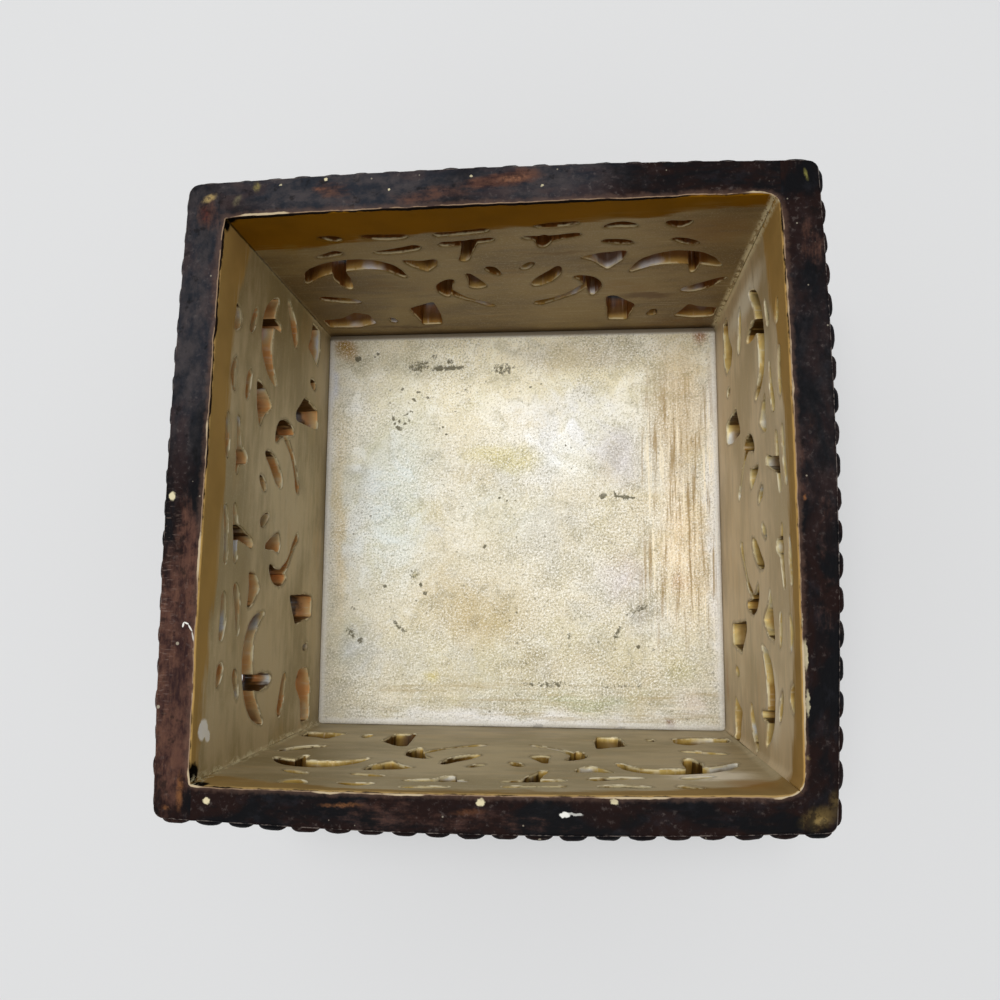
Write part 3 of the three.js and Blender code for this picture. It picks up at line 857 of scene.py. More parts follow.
def stained_wood():
    """Black stain on wood, bloomed grey or worn to red-brown in places, with old paint marks on the rim."""
    f = Finish("stained_wood")
    through = f.step(f.math("ABSOLUTE", f.x), INNER_HALF, INNER_HALF + 0.02 * MM)

    def lengthwise(stretch):
        across_ends = f.add(1.0, f.times(through, stretch - 1.0))
        return f.node("ShaderNodeCombineXYZ", f.times(f.x, across_ends),
                      f.times(f.y, f.less(stretch + 1.0, across_ends)), f.times(f.z, stretch)).outputs[0]

    grain = f.noise(lengthwise(6.0), 330, 4.0, 0.65)
    patch = f.noise(lengthwise(2.2), 75, 4.0, 0.6, 0.4)
    blotch = f.noise(lengthwise(1.7), 250, 5.0, 0.68)
    fine = f.noise(f.place, 950, 3.0, 0.7)
    f.base = f.mix(f.step(patch, 0.42, 0.6), (10, 10, 13), (30, 16, 13))
    f.coat((42, 42, 48), f.step(blotch, 0.5, 0.72, 0.3))
    bloomed = f.mix(f.step(blotch, 0.36, 0.66), (38, 41, 48), (68, 63, 64))
    bloomed = f.mix(f.step(patch, 0.5, 0.66, 0.4), bloomed, (70, 52, 48))
    bloom = f.add(f.attribute("bloom"), f.centred(patch, 0.9), f.centred(fine, 0.4))
    f.coat(bloomed, f.step(bloom, 0.0, 0.95))
    side_wear = f.step(f.noise(f.stretched(1, 1, 1, 0.4), 60, 3.0, 0.6), 0.52, 0.75)
    side_wear = f.times(f.step(f.z, HEIGHT - 2 * MM, HEIGHT - 8 * MM), side_wear, 0.7)
    worn = f.add(f.highest(f.attribute("worn"), side_wear), f.centred(blotch), f.centred(grain, 0.35))
    red_brown = f.mix(f.step(blotch, 0.36, 0.64), (48, 30, 29), (90, 61, 50))
    red_brown = f.mix(f.times(f.step(grain, 0.46, 0.7), 0.35), red_brown, (110, 78, 60))
    f.coat(red_brown, f.step(worn, 0.22, 0.9))

    # Fine dust, and pin-head specks of paint
    f.coat((122, 112, 106), f.step(fine, 0.56, 0.7), f.step(patch, 0.42, 0.6), 0.2)
    pins = f.highest(f.times(f.specks(f.place, 330, 0.13, 0.03), 0.75),
                     f.times(f.specks(f.place, 640, 0.14, 0.06), 0.5))
    f.coat((176, 166, 146), pins)
    f.coat((14, 12, 12), f.step(f.noise(f.stretched(1, 1, 1, 1.3), 420, 3.0, 0.6), 0.58, 0.7, 0.6))

    # Short pale scratches across the left rail, beside its outer arris
    scratch = f.step(f.noise(f.stretched(0.2, 1, 0, 0.5), 2600, 2.0, 0.6), 0.56, 0.7)
    beside = f.times(f.step(f.x, -57.5 * MM, -59.5 * MM), f.step(f.z, HEIGHT - 2.5 * MM, HEIGHT - 1.5 * MM))
    at = f.times(f.step(f.y, 2 * MM, -8 * MM), f.step(f.y, -50 * MM, -36 * MM))
    f.coat((150, 128, 116), scratch, beside, at, 0.3)

    # A broken pale line along the arrises of the rim, where the surface turns
    tilt = f.upwards()
    on_arris = f.times(f.step(tilt, 0.95, 0.8), f.step(tilt, 0.15, 0.4),
                       f.step(f.z, HEIGHT - 1.2 * MM, HEIGHT - 0.8 * MM))
    f.coat((158, 144, 134), on_arris, f.step(f.add(fine, f.centred(blotch, 0.6)), 0.44, 0.6), 0.45)

    small = f.shaken(1100, 3.0, 0.9 * MM)
    flaky = f.add(0.3, f.times(f.step(f.add(fine, f.centred(blotch, 0.8)), 0.36, 0.56), 0.7))
    for (x, y), (half_x, half_y), turn, tint, amount in RIM_MARKS:
        crisp = tint in (CREAM, WHITE)
        mark = f.spot(small, (x, y, RIM), (half_x, half_y, MARK_DEPTH), turn, 0.4 if crisp else 0.85, amount)
        f.coat(tint, mark if crisp else f.times(mark, flaky))
    for (x, y), (half_x, half_y), turn in THREAD:
        f.coat(WHITE, f.spot(f.place, (x, y, RIM), (half_x, half_y, MARK_DEPTH), turn))

    # The paint that reaches over the inner arris: a dull fringe, and a light line, wider in places
    past = f.attribute("past_arris")
    on_top = f.step(f.z, HEIGHT - 1.3 * MM, HEIGHT - 0.7 * MM)
    f.coat((104, 80, 68), f.step(f.frayed(past, 1.8 * MM), 1.3 * MM, 0.2 * MM), on_top, 0.4)
    wide = f.step(f.noise(f.stretched(1, 1, 0, 2.1), 75, 2.0, 0.5), 0.53, 0.62)
    reach = f.less(f.frayed(past, 0.3 * MM), f.times(wide, 0.2 * MM))
    broken = f.step(f.noise(f.stretched(1, 1, 0, 3.1), 260, 3.0, 0.6), 0.36, 0.48)
    f.coat(f.mix(wide, (152, 126, 100), (202, 182, 148)),
           f.step(reach, 0.24 * MM, 0.14 * MM), on_top, f.highest(broken, wide), 0.9)

    # Rubbed at the foot
    f.coat((122, 92, 72), f.step(grain, 0.5, 0.7), f.step(f.z, 1.6 * MM, 0.4 * MM), 0.6)
    height = f.add(f.times(grain, 0.5), fine, f.times(pins, 0.6))
    return f.finish(f.ramp(patch, [(0.3, 0.5), (0.7, 0.7)]), f.bump(height, 0.6), specular=0.06)


# How deep the amber band reaches, and the bare strip above it, as drops in mm at even steps along
AMBER_BANDS = {
    "rear": [15.5, 15.5, 12.5, 11.5, 10.5, 9, 8, 5, 3],
    "left": [3.5, 4.5, 6, 8, 9.5, 9, 8, 9.5, 14],
    "front": [13, 6, 3.5, 3, 2.5, 2.5, 3, 5, 8],
    "right": [15, 12, 8, 6, 5, 5, 5, 6, 9],
}
BARE_STRIPS = {
    "rear": [0.9, 0.5, 0.3, 0.6, 0.6, 0.6, 0.4, 0.2, 0.1],
    "left": [0.1, 0.0, 0.0, 0.0, 0.1, 0.3, 0.3, 0.3, 0.5],
    "front": [0.0, 0.0, 0.1, 0.1, 0.1, 0.1, 0.1, 0.1, 0.2],
    "right": [0.1, 0.2, 0.1, 0.0, 0.0, 0.0, 0.0, 0.0, 0.0],
}
DEEPEST_BAND = 20 * MM

# Paint colours on each wall: brushed paint light and dark, and the amber
# The colours differ from wall to wall partly as painted light and shade: the rear wall is painted darkest
# and the right wall lightest.
WALL_PAINTS_AND_SHADING = {
    "rear": ((148, 124, 78), (114, 90, 48), (136, 90, 0)),
    "left": ((200, 182, 144), (158, 140, 98), (186, 150, 86)),
    "front": ((196, 180, 144), (160, 144, 106), (178, 146, 90)),
    "right": ((226, 204, 168), (190, 168, 128), (184, 146, 82)),
}

# What shows in each upright corner: colour, width in mm, amount, and how steadily
SEAMS = {
    "rear_left": ((66, 50, 20), 0.4, 0.8, 0.3),
    "rear_right": ((222, 208, 168), 1.8, 0.8, 0.42),
    "front_right": ((170, 150, 112), 0.9, 0.15, 0.5),
    "front_left": ((214, 204, 168), 1.7, 0.9, 0.5),
}

# Rubbed and stained places on the walls: middle as along and up, half sizes, colour, amount
WALL_MARKS = {
    "rear": [
        ((33, 31), (9, 3.2), (92, 62, 26), 0.65), ((-37, 53), (5, 3), (104, 72, 24), 0.5),
        ((-45, 64), (2, 4), (150, 122, 60), 0.4), ((-30, 12), (14, 1.4), (96, 66, 24), 0.7),
        ((12, 58), (10, 1.0), (112, 80, 30), 0.6), ((44, 66), (10, 9), (140, 100, 40), 0.45),
        ((34, 31), (7, 3.4), (104, 70, 20), 0.7),
    ],
    "left": [((30, 20), (16, 6), (186, 168, 124), 0.5), ((-20, 60), (14, 4), (150, 128, 84), 0.5),
             ((8, 44), (16, 5), (214, 198, 158), 0.4)],
    "front": [((-41, 64), (11, 7), (255, 248, 230), 1.0), ((-47, 72), (6, 6), (176, 132, 72), 0.6),
              ((20, 70), (12, 2), (170, 140, 80), 0.4)],
    "right": [((-46, 44), (5, 28), (255, 246, 224), 0.9), ((40, 10), (8, 3), (176, 128, 70), 0.6),
              ((41, 60), (10, 8), (255, 244, 222), 0.8), ((-30, 60), (6, 8), (232, 220, 192), 0.6)],
}

# Spots over the amber band: near-black painted shade of the voids in the corners of the rim, and a blob of
# old white paint
VOID_SHADE, OLD_PAINT = (8, 5, 2), (255, 255, 252)
RIM_SPOTS = {
    "rear": [((-52.4, 80.2), (2.4, 1.6), VOID_SHADE, 0.4)],
    "left": [((-52.4, 79.8), (2.2, 2.6), VOID_SHADE, 0.4), ((52.4, 80.2), (2.2, 2.0), VOID_SHADE, 0.4),
             ((-45.2, 76.4), (2.2, 2.3), OLD_PAINT, 0.3), ((-46.6, 74.4), (1.4, 1.3), OLD_PAINT, 0.4)],
    "front": [((52.4, 80), (2.0, 2.0), VOID_SHADE, 0.4)],
}

# How far out the painted faces of the walls lie, and how deep a spot on them reaches, in mm
WALL = INNER_HALF / MM
WALL_MARK_DEPTH = 6


def wall_paint(board):
    """Smooth paint of silver with a little gold, and an amber band below the rim."""
    f = Finish(f"wall_paint_{board.name}", board.angle)
    shift = board.seed * 0.017
    at_rear = board.name == "rear"
    light, dark, amber = WALL_PAINTS_AND_SHADING[board.name]
    streak = f.noise(f.stretched(0.22, 1, 1, shift), 400, 4.0, 0.6)
    cloud = f.noise(f.stretched(0.6, 1, 1, shift), 48, 4.0, 0.55)
    grit = f.noise(f.place, 2600, 2.0, 0.6)
    hair = f.noise(f.stretched(0.07, 1, 1, shift + 3), 900, 3.0, 0.6)
    f.base = f.mix(f.step(f.add(f.times(streak, 0.3), f.times(cloud, 0.7)), 0.4, 0.6), dark, light)
    f.coat((226, 216, 184), f.step(grit, 0.5, 0.8, 0.2))
    f.coat((226, 212, 176), f.step(hair, 0.6, 0.7, 0.14))
    stained = f.step(f.noise(f.stretched(0.5, 1, 1, shift + 4), 62, 4.0, 0.6), 0.54, 0.7)
    f.coat(amber, stained, f.step(streak, 0.36, 0.6), 0.3)
    small, large = f.shaken(800, 3.0, 1.2 * MM), f.shaken(170, 4.0, 5 * MM)

    # The amber band, with a soft and streaky lower edge
    share = f.add(f.times(f.x, 0.5 / INNER_HALF), 0.5)

    def along_wall(drops):
        stops = [(i / (len(drops) - 1), drop * MM / DEEPEST_BAND) for i, drop in enumerate(drops)]
        return f.times(f.ramp(share, stops, "EASE"), DEEPEST_BAND)

    drop = f.less(HEIGHT, f.z)
    ragged = f.noise(f.stretched(0.3, 1, 1, shift + 5), 240, 4.0, 0.6)
    edge = f.add(along_wall(AMBER_BANDS[board.name]), f.centred(ragged, 7 * MM), f.centred(hair, 4 * MM))
    above_edge = f.less(edge, drop)
    band = f.step(above_edge, -0.8 * MM, 1.2 * MM)
    deeper = f.mix(f.step(f.noise(f.place, 75), 0.35, 0.7), amber, (0, 0, 0))
    f.coat(f.mix(0.2, amber, deeper), band, 0.95)
    f.coat(light, f.step(hair, 0.52, 0.66), f.step(above_edge, 4 * MM, 0.0), band, 0.55)
    for (x, z), (half_x, half_z), tint, amount in WALL_MARKS[board.name]:
        mark = f.spot(large, (x, WALL, z), (half_x, WALL_MARK_DEPTH, half_z), 0, 0.7, amount)
        f.coat(tint, mark, f.step(streak, 0.3, 0.46))

    # Bare dark wood in the angle with the rim
    uneven = f.centred(f.noise(f.stretched(1, 0, 0, shift + 7), 170), 0.8 * MM)
    gap = f.add(f.frayed(along_wall(BARE_STRIPS[board.name]), 0.4 * MM), uneven)
    f.coat((20, 14, 10), f.step(f.less(drop, gap), 0.15 * MM, -0.1 * MM))
    for (x, z), (half_x, half_z), tint, soft in RIM_SPOTS.get(board.name, ()):
        f.coat(tint, f.spot(small, (x, WALL, z), (half_x, WALL_MARK_DEPTH, half_z), 0, soft))

    # The upright corners
    to_corner = f.attribute("to_corner")
    flecks = f.noise(f.stretched(1, 1, 0.5, shift + 2), 900, 3.0, 0.7)
    for corner, side in ((board.low_corner, -1), (board.high_corner, 1)):
        tint, width, amount, threshold = SEAMS[corner]
        on_side = f.step(f.times(f.x, side), 0.0, 1 * MM)
        seam = f.step(f.frayed(to_corner, 0.4 * MM), width * MM, 0.4 * width * MM)
        f.coat(tint, seam, on_side, f.step(flecks, threshold, threshold + 0.08), amount)

    # Darker brown round the openings, and thin light lines on their lips: paint gathered there, and partly
    # painted highlight
    to_opening = f.attribute("to_opening")
    darkened_round_openings = f.step(f.frayed(to_opening, 1.4 * MM), 0.9 * MM, 0.1 * MM)
    f.coat((88, 68, 30), darkened_round_openings, f.step(cloud, 0.4, 0.6), 0.4)
    wet = f.step(f.noise(f.stretched(0.6, 1, 1, shift + 9), 320, 3.0, 0.6), 0.5, 0.6)
    lip_paint_and_highlight = f.times(f.step(to_opening, 0.26 * MM, 0.06 * MM), wet)
    f.coat(light if at_rear else (250, 240, 206), lip_paint_and_highlight, 0.85)
    # Painted shade along the foot of the walls, in the angle with the floor, strongest on the rear wall
    foot = f.step(f.z, FLOOR_TOP + 3.2 * MM, FLOOR_TOP + 0.6 * MM)
    f.coat((84, 64, 34), foot, 0.75 if at_rear else 0.25)

    roughness = f.add(f.ramp(streak, [(0.3, 0.42), (0.75, 0.56)]), f.times(band, 0.2))
    height = f.add(f.times(streak, 0.5), f.times(grit, 0.25), f.times(lip_paint_and_highlight, 0.6))
    return f.finish(roughness, f.bump(height, 0.35), f.times(f.less(1.0, band), 0.15),
                    f.less(0.3, f.times(band, 0.28)))


# Metal paint on the sills of the openings, from silver to dull gold: how much of a wall's sills it covers,
# what it darkens to further in, and how deep that is in mm
# The left wall's tints are pushed towards white as painted light on its sills.
SILL_PAINTS_AND_LIGHT = {
    "rear": (((250, 244, 240), (224, 184, 110), (204, 160, 84), (170, 118, 52)), 0.36, (120, 74, 28), 2.2),
    "left": (((255, 254, 250), (255, 226, 170), (255, 204, 136), (250, 178, 106)), 0.2, (232, 158, 92), 3.4),
    "front": (((252, 248, 232), (226, 194, 112), (190, 154, 76), (140, 106, 44)), 0.4, (136, 102, 44), 1.6),
    "right": (((255, 252, 240), (250, 226, 156), (232, 198, 118), (190, 148, 76)), 0.3, (180, 138, 72), 2.4),
}


def sawn_face(board):
    """The faces inside the openings: gold and silver paint on the sills, partly painted light, brown stain
    on the rest, and painted shade deep inside.
    """
    f = Finish(f"sawn_face_{board.name}", board.angle)
    shift = board.seed * 0.01
    at_rear = board.name == "rear"
    depth = f.attribute("depth")
    saw_marks = f.noise(f.stretched(1, 0.12, 1, shift), 1100, 3.0, 0.6)
    patches = f.noise(f.place, 240, 3.0, 0.6)
    stain = ((94, 52, 14), (142, 88, 32)) if at_rear else ((54, 34, 8), (104, 70, 24))
    f.base = f.ramp(saw_marks, zip((0.3, 0.7), stain))

    # The metal paint of the sills, duller further in. It lies only on faces that look up, so it is partly
    # painted light falling on them
    tints, cover, dull, deep = SILL_PAINTS_AND_LIGHT[board.name]
    metals = f.ramp(f.noise(f.stretched(1, 1, 1, shift + 1), 110, 2.0), zip((0.36, 0.44, 0.56, 0.66), tints))
    # Painted highlights along the saw marks
    metals = f.mix(f.step(saw_marks, 0.54, 0.74, 0.35), metals, (255, 246, 222))
    further_in = f.step(f.add(depth, f.centred(patches, 1.6 * MM)), 0.25 * deep * MM, deep * MM, 0.85)
    metals = f.mix(further_in, metals, dull)
    bare_top = f.step(f.z, HEIGHT - 20 * MM, HEIGHT - 26 * MM) if at_rear else 1.0
    bright = f.step(f.noise(f.stretched(1, 0, 1, shift + 6), 85, 2.0, 0.4), cover - 0.06, cover + 0.06)
    sill_paint_and_light = f.times(f.step(f.add(f.upwards(), f.centred(patches, 0.4)), 0.3, 0.55),
                   f.step(f.add(depth, f.centred(patches, 6 * MM)), 4.8 * MM, 2.8 * MM), bright, bare_top)
    f.coat(metals, sill_paint_and_light)

    # A pale band at the mouth of each opening: paint gathered there, and partly painted highlight
    mouth_paint_and_highlight = f.step(f.frayed(depth, 0.5 * MM), 0.6 * MM, 0.15 * MM)
    f.coat((246, 230, 180), mouth_paint_and_highlight, f.step(patches, 0.42, 0.54), 0.85)
    # Painted shade, near black, deep inside the openings towards the outer face
    f.coat((30, 23, 20), f.step(depth, 4.6 * MM, 6.2 * MM))
    roughness = f.ramp(saw_marks, [(0.3, 0.26), (0.7, 0.46)])
    return f.finish(roughness, f.bump(saw_marks, 0.5, 0.15 * MM), f.times(sill_paint_and_light, 0.12), 0.3)


# The colour of the floor under its mottling, and what the large tints are mixed from
FLOOR_GROUND = (223, 214, 187)

# Mottling of the floor: where in the noise, how fine, from which height on, colour, amount
FLOOR_MOTTLES = [
    (6.1, 26, 0.48, (200, 204, 206), 0.35), (7.7, 34, 0.52, (202, 184, 138), 0.4),
    (0.3, 42, 0.48, (184, 178, 150), 0.4), (1.7, 66, 0.5, (214, 204, 160), 0.35),
    (2.9, 90, 0.5, (244, 241, 228), 0.4), (4.1, 170, 0.52, (160, 152, 120), 0.4),
    (5.3, 150, 0.54, (246, 243, 228), 0.4),
]

# The rows of mesh points round a mark, as shares of its half sizes, and how far they keep from the
# walls, in mm
MARK_ROWS = (0.01, 0.5, 0.85, 1.2, 1.7)
MARK_SPOKES = 11
MARK_MARGIN = 0.3

# Large soft tints on the floor: middle, half sizes, turn, colour, amount
# The first three, a lighter rear half, a darker front half and a lighter left side, are painted light and
# shade
FLOOR_CLOUDS_AND_LIGHT = [
    ((0, 46), (80, 34), 0, (252, 242, 208), 0.95), ((0, -48), (80, 30), 0, (204, 196, 164), 0.7),
    ((-46, 10), (14, 60), 0, (242, 238, 218), 0.8), ((-34, 8), (17, 38), -8, (214, 220, 208), 0.85),
    ((10, 24), (28, 20), 8, (252, 248, 234), 0.9), ((14, 17), (9, 8), 0, (242, 240, 224), 0.7),
    ((-4, 4), (20, 12), 0, (226, 222, 196), 0.5), ((-4, 18.5), (15, 5), -4, (226, 214, 150), 0.8),
    ((-11, -24), (19, 13), -10, (196, 176, 126), 0.85), ((8, -38), (18, 6), 6, (208, 196, 164), 0.6),
    ((27, 18), (8, 11), 12, (208, 198, 188), 0.75), ((28, -14), (9, 9), 0, (218, 204, 194), 0.7),
    ((18, -46.5), (22, 3), 2, (176, 178, 132), 0.75), ((42.6, -39), (6, 5), 0, (202, 192, 138), 0.75),
    ((46, -47), (6, 5), 0, (226, 212, 204), 0.6), ((-30, 44), (26, 5), -4, (192, 184, 152), 0.6),
    ((18, 46), (30, 6), 0, (202, 188, 158), 0.65), ((43, 30), (11, 28), 0, (216, 190, 142), 0.85),
    ((44, -6), (11, 28), 0, (240, 212, 166), 0.85), ((-44, -34), (9, 12), 20, (196, 198, 190), 0.6),
    ((-20, -44), (24, 4), 3, (216, 204, 166), 0.55), ((-49, -2), (1.8, 20), 0, (226, 204, 148), 0.6),
    ((33, -24), (7, 4.5), 25, (170, 162, 144), 0.7), ((4.5, -36), (5, 4), 40, (166, 154, 112), 0.7),
]

# Small marks: middle, half sizes, turn, and how dark
FLOOR_MARKS = [
    ((-45.3, 46.7), (0.9, 0.8), 0, 0.75), ((-39.7, 48), (0.45, 0.4), 0, 0.7),
    ((-28.5, 44), (2.6, 1.6), 0, 0.5), ((-19.8, 43.5), (4.6, 0.5), 2, 0.95),
    ((-23.5, 47), (0.7, 0.6), 0, 0.65), ((-26, 45.3), (0.6, 0.5), 0, 0.6),
    ((-19.2, 45.3), (1.0, 0.7), 0, 0.55), ((-4.5, 43.1), (2.8, 1.5), 0, 0.5),
    ((-32.5, 37.8), (0.4, 0.4), 0, 0.7), ((-29.2, 34.7), (0.6, 0.5), 0, 0.7),
    ((-25.3, 35.3), (0.4, 0.4), 0, 0.55), ((-14.5, 37), (0.8, 0.6), 0, 0.45),
    ((-17, 36.3), (0.4, 0.4), 0, 0.5), ((-28, 36.9), (0.7, 0.4), 0, 0.5),
    ((-34.9, 29.3), (0.6, 0.4), -62, 0.75), ((-33.2, 26.7), (0.9, 0.5), -38, 0.8),
    ((-31.2, 30.6), (0.9, 0.3), 20, 0.6), ((-30.4, 28.8), (0.6, 0.3), -70, 0.6),
    ((-34.4, 27.9), (0.5, 0.35), 40, 0.7), ((-33.1, 28.6), (0.35, 0.45), 0, 0.65),
    ((-31.7, 27.9), (0.5, 0.3), 15, 0.65), ((-29.7, 31.2), (0.5, 0.3), -30, 0.6),
    ((-20.9, 26.8), (0.3, 0.3), 0, 0.75), ((-19.9, 24.8), (0.35, 0.3), 0, 0.7),
    ((3.3, 37.8), (0.35, 0.3), 0, 0.8), ((6.2, 38.6), (0.3, 0.25), 0, 0.7),
    ((-17.4, 31.3), (0.35, 0.3), 0, 0.5), ((-5.1, 7.1), (0.35, 0.35), 0, 0.85),
    ((-3, 6.3), (0.28, 0.28), 0, 0.7), ((22.8, 7.4), (0.9, 0.65), 35, 0.9),
    ((26.1, 7.9), (0.28, 0.75), 20, 0.8), ((28.6, 7.1), (2.8, 0.3), -6, 0.9),
    ((-9, -6.2), (0.7, 0.3), 52, 0.8), ((12.9, 21.3), (0.3, 0.3), 0, 0.6),
    ((14.2, 20.7), (0.25, 0.3), 0, 0.6), ((-36.2, -16.9), (0.5, 0.45), 0, 0.8),
    ((-25.1, -18.8), (0.6, 0.5), 20, 0.85), ((-26.3, -16.5), (0.45, 0.55), 0, 0.7),
    ((-27.5, -20.8), (0.4, 0.25), 0, 0.6), ((-44.9, -22.8), (0.7, 0.5), 0, 0.55),
    ((-32.2, -27.6), (2.4, 0.5), -42, 0.6), ((-45.4, -29), (1.9, 0.8), -55, 0.45),
    ((-42.7, -31.5), (0.9, 0.7), 30, 0.6), ((26.4, -28.6), (2.2, 0.45), 66, 0.55),
    ((31.8, -22.8), (3.2, 0.55), 28, 0.5), ((31.7, -32.5), (0.55, 0.5), 0, 0.75),
    ((35.5, -33.1), (0.4, 0.4), 0, 0.65), ((-28.3, -13.4), (1.2, 1.5), 0, 0.35),
    ((7, -42.5), (9.5, 0.22), -2, 0.6), ((27, -42.8), (5, 0.2), 3, 0.45),
    ((13.4, -30), (0.9, 0.8), 0, 0.4), ((-2.2, -25.8), (0.35, 0.3), 0, 0.6),
    ((-35.5, -5), (0.4, 0.35), 0, 0.5), ((29.5, -2.6), (0.7, 0.6), 0, 0.45),
    ((5.5, -53.2), (1.1, 0.6), 0, 0.9), ((26.9, -53.3), (0.9, 0.4), 0, 0.6),
    ((45.6, 10.7), (0.5, 0.45), 0, 0.5),
]

# Coloured stains: middle, half sizes, turn, colour, amount
# The pale strips along the front, the right and the left edge are partly painted highlight on the rounded
# edge of the floor
FLOOR_STAINS_AND_EDGE_HIGHLIGHTS = [
    ((-49.2, 50.6), (7.5, 5), -15, (176, 132, 26), 1.0),
    ((49.8, 51.6), (3, 4.6), 0, (168, 104, 36), 1.0), ((-49.6, 2), (2.8, 46), 0, (228, 210, 166), 0.7),
    ((-52.4, 40), (1.6, 9), 0, (222, 226, 236), 0.9), ((0, -51.4), (60, 2.6), 0, (248, 246, 242), 0.9),
    ((51.6, 0), (2.4, 60), 0, (248, 244, 238), 0.8),
    ((-23.5, -40.6), (3.0, 2.0), 0, (214, 196, 96), 0.7),
    ((39.8, -53.0), (2.4, 1.4), 0, (112, 58, 28), 1.0),
    ((-28.2, -13.6), (1.6, 2.0), 0, (150, 138, 66), 0.8),
    ((43.3, -17), (4, 4.5), 0, (206, 158, 112), 0.5),
]


def floor_paint():
    """Mottled silver and pale gold paint with a fine grain, brushed along the right side and the front."""
    f = Finish("floor_paint")
    tint = f.node("ShaderNodeAttribute", attribute_name="tint")
    f.base = FLOOR_GROUND
    for shift, scale, low, rgb, amount in FLOOR_MOTTLES:
        mottle = f.noise(f.stretched(1, 1, 1, shift), scale, 5.0, 0.64, 0.7)
        f.coat(rgb, f.step(mottle, low, low + 0.12, amount), tint.outputs["Alpha"])
    f.base = f.mix(1.0, f.base, tint.outputs["Color"], "MULTIPLY")

    # The grain of the paint, with a painted light side and a painted shaded side to each rise
    grain = f.noise(f.place, 1350, 5.0, 0.7)
    beside = f.noise(f.vectors("ADD", f.place, (0.14 * MM, -0.14 * MM, 0)), 1350, 5.0, 0.7)
    rise = f.less(grain, beside)
    patchy = f.step(f.noise(f.place, 60), 0.3, 0.7)
    strength = f.add(0.16, f.times(patchy, 0.2))
    f.coat((142, 130, 98), f.step(rise, 0.0, 0.14), strength)
    f.coat((255, 252, 242), f.step(rise, 0.0, -0.14), strength)
    # Fine specks: the pale ones partly painted glints, the dark ones partly painted shade in pits
    sand = f.noise(f.place, 2050, 3.0, 0.65)
    f.coat((130, 126, 106), f.step(sand, 0.48, 0.34), f.add(0.3, f.times(patchy, 0.3)))
    f.coat((255, 253, 246), f.step(sand, 0.51, 0.64), f.add(0.45, f.times(patchy, 0.35)))

    # Brush strokes on the right side, and along the front
    from_middle = f.math("ABSOLUTE", f.add(f.y, -4 * MM))
    right = f.times(f.step(f.x, 30 * MM, 36 * MM), f.step(from_middle, 46 * MM, 20 * MM))
    strokes = f.noise(f.stretched(1, 0.045, 1), 850, 4.0, 0.7)
    f.coat((158, 130, 78), f.step(strokes, 0.5, 0.64), right, 0.85)
    f.coat((255, 242, 212), f.step(strokes, 0.48, 0.34), right, 0.75)
    front = f.times(f.step(f.y, -38 * MM, -45 * MM), f.step(f.x, -46 * MM, -30 * MM))
    swept = f.noise(f.stretched(0.06, 1, 1, 0.2), 800, 4.0, 0.7)
    f.coat((178, 158, 112), f.step(swept, 0.5, 0.66), front, 0.5)
    f.coat((246, 236, 214), f.step(swept, 0.46, 0.32), front, 0.4)

    # Dirt: marks of their own, and small specks that gather in places
    dirt = f.add(f.frayed(f.attribute("dirt"), 1.1), f.centred(grain, 2.2))
    f.coat((88, 82, 54), f.step(dirt, 0.22, 0.66, 0.88))
    gathered = f.step(f.noise(f.stretched(1, 1, 1, 0.9), 42, 2.0), 0.4, 0.66)
    f.coat((96, 88, 62), f.specks(f.place, 420, 0.17, 0.16), gathered, 0.7)

    # The pale edge, worn and partly painted highlight on its rounding, and dirt with painted shade along the
    # rear board
    edge = f.highest(f.math("ABSOLUTE", f.x), f.math("ABSOLUTE", f.y))
    pale = f.step(f.frayed(edge, 0.8 * MM), INNER_HALF - 2.2 * MM, INNER_HALF - 0.9 * MM)
    f.coat((238, 236, 230), pale, 0.6)
    f.coat((104, 86, 56), f.step(f.y, INNER_HALF - 1.9 * MM, INNER_HALF - 0.9 * MM), 0.85)

    blotch, cloud = f.noise(f.place, 105, 4.0, 0.6), f.noise(f.place, 30, 4.0, 0.55)
    height = f.add(grain, f.times(blotch, 1.2), f.times(cloud, 2.0))
    return f.finish(f.ramp(grain, [(0.3, 0.42), (0.7, 0.6)]), f.bump(height, 0.5), 0.14, 0.35)


def brad_steel():
    """Dull steel with brown stains."""
    f = Finish("brad_steel")
    stain = f.noise(f.place, 900, 4.0, 0.6)
    f.base = f.mix(f.step(stain, 0.42, 0.62), (108, 104, 98), (82, 58, 40))
    return f.finish(f.ramp(stain, [(0.3, 0.36), (0.7, 0.7)]), f.bump(stain, 0.5), 0.85)


# Geometry Nodes

class Growth(Wiring):
    """A Geometry Nodes tree while it is wired, with named inputs."""

    def __init__(self, name, **inputs):
        super().__init__(bpy.data.node_groups.new(name, "GeometryNodeTree"))
        for side in ("OUTPUT", "INPUT"):
            self.tree.interface.new_socket("Geometry", in_out=side, socket_type="NodeSocketGeometry")
        for key, kind in inputs.items():
            self.tree.interface.new_socket(key, in_out="INPUT", socket_type=f"NodeSocket{kind}")
        self.inputs = dict(zip(inputs, self.node("NodeGroupInput").outputs[1:]))

    def end(self, geometry, material):
        smoothed = self.named("GeometryNodeSetShadeSmooth", Geometry=geometry)
        painted = self.named("GeometryNodeSetMaterial", Geometry=smoothed.outputs[0], Material=material)
        self.node("NodeGroupOutput", painted.outputs[0])


def grown(name, tree, **values):
    """A plain mesh object from a tree, run on a single point."""
    carrier = mesh_object(f"{name}_base", [(0, 0, 0)], [])
    modifier = carrier.modifiers.new("growth", "NODES")
    modifier.node_group = tree
    for item in tree.interface.items_tree:
        if item.item_type == "SOCKET" and item.in_out == "INPUT" and item.name in values:
            modifier[item.identifier] = values[item.name]
    depsgraph = bpy.context.evaluated_depsgraph_get()
    mesh = bpy.data.meshes.new_from_object(carrier.evaluated_get(depsgraph), depsgraph=depsgraph)
    mesh.name = name
    bpy.data.objects.remove(carrier)
    return linked(name, mesh)


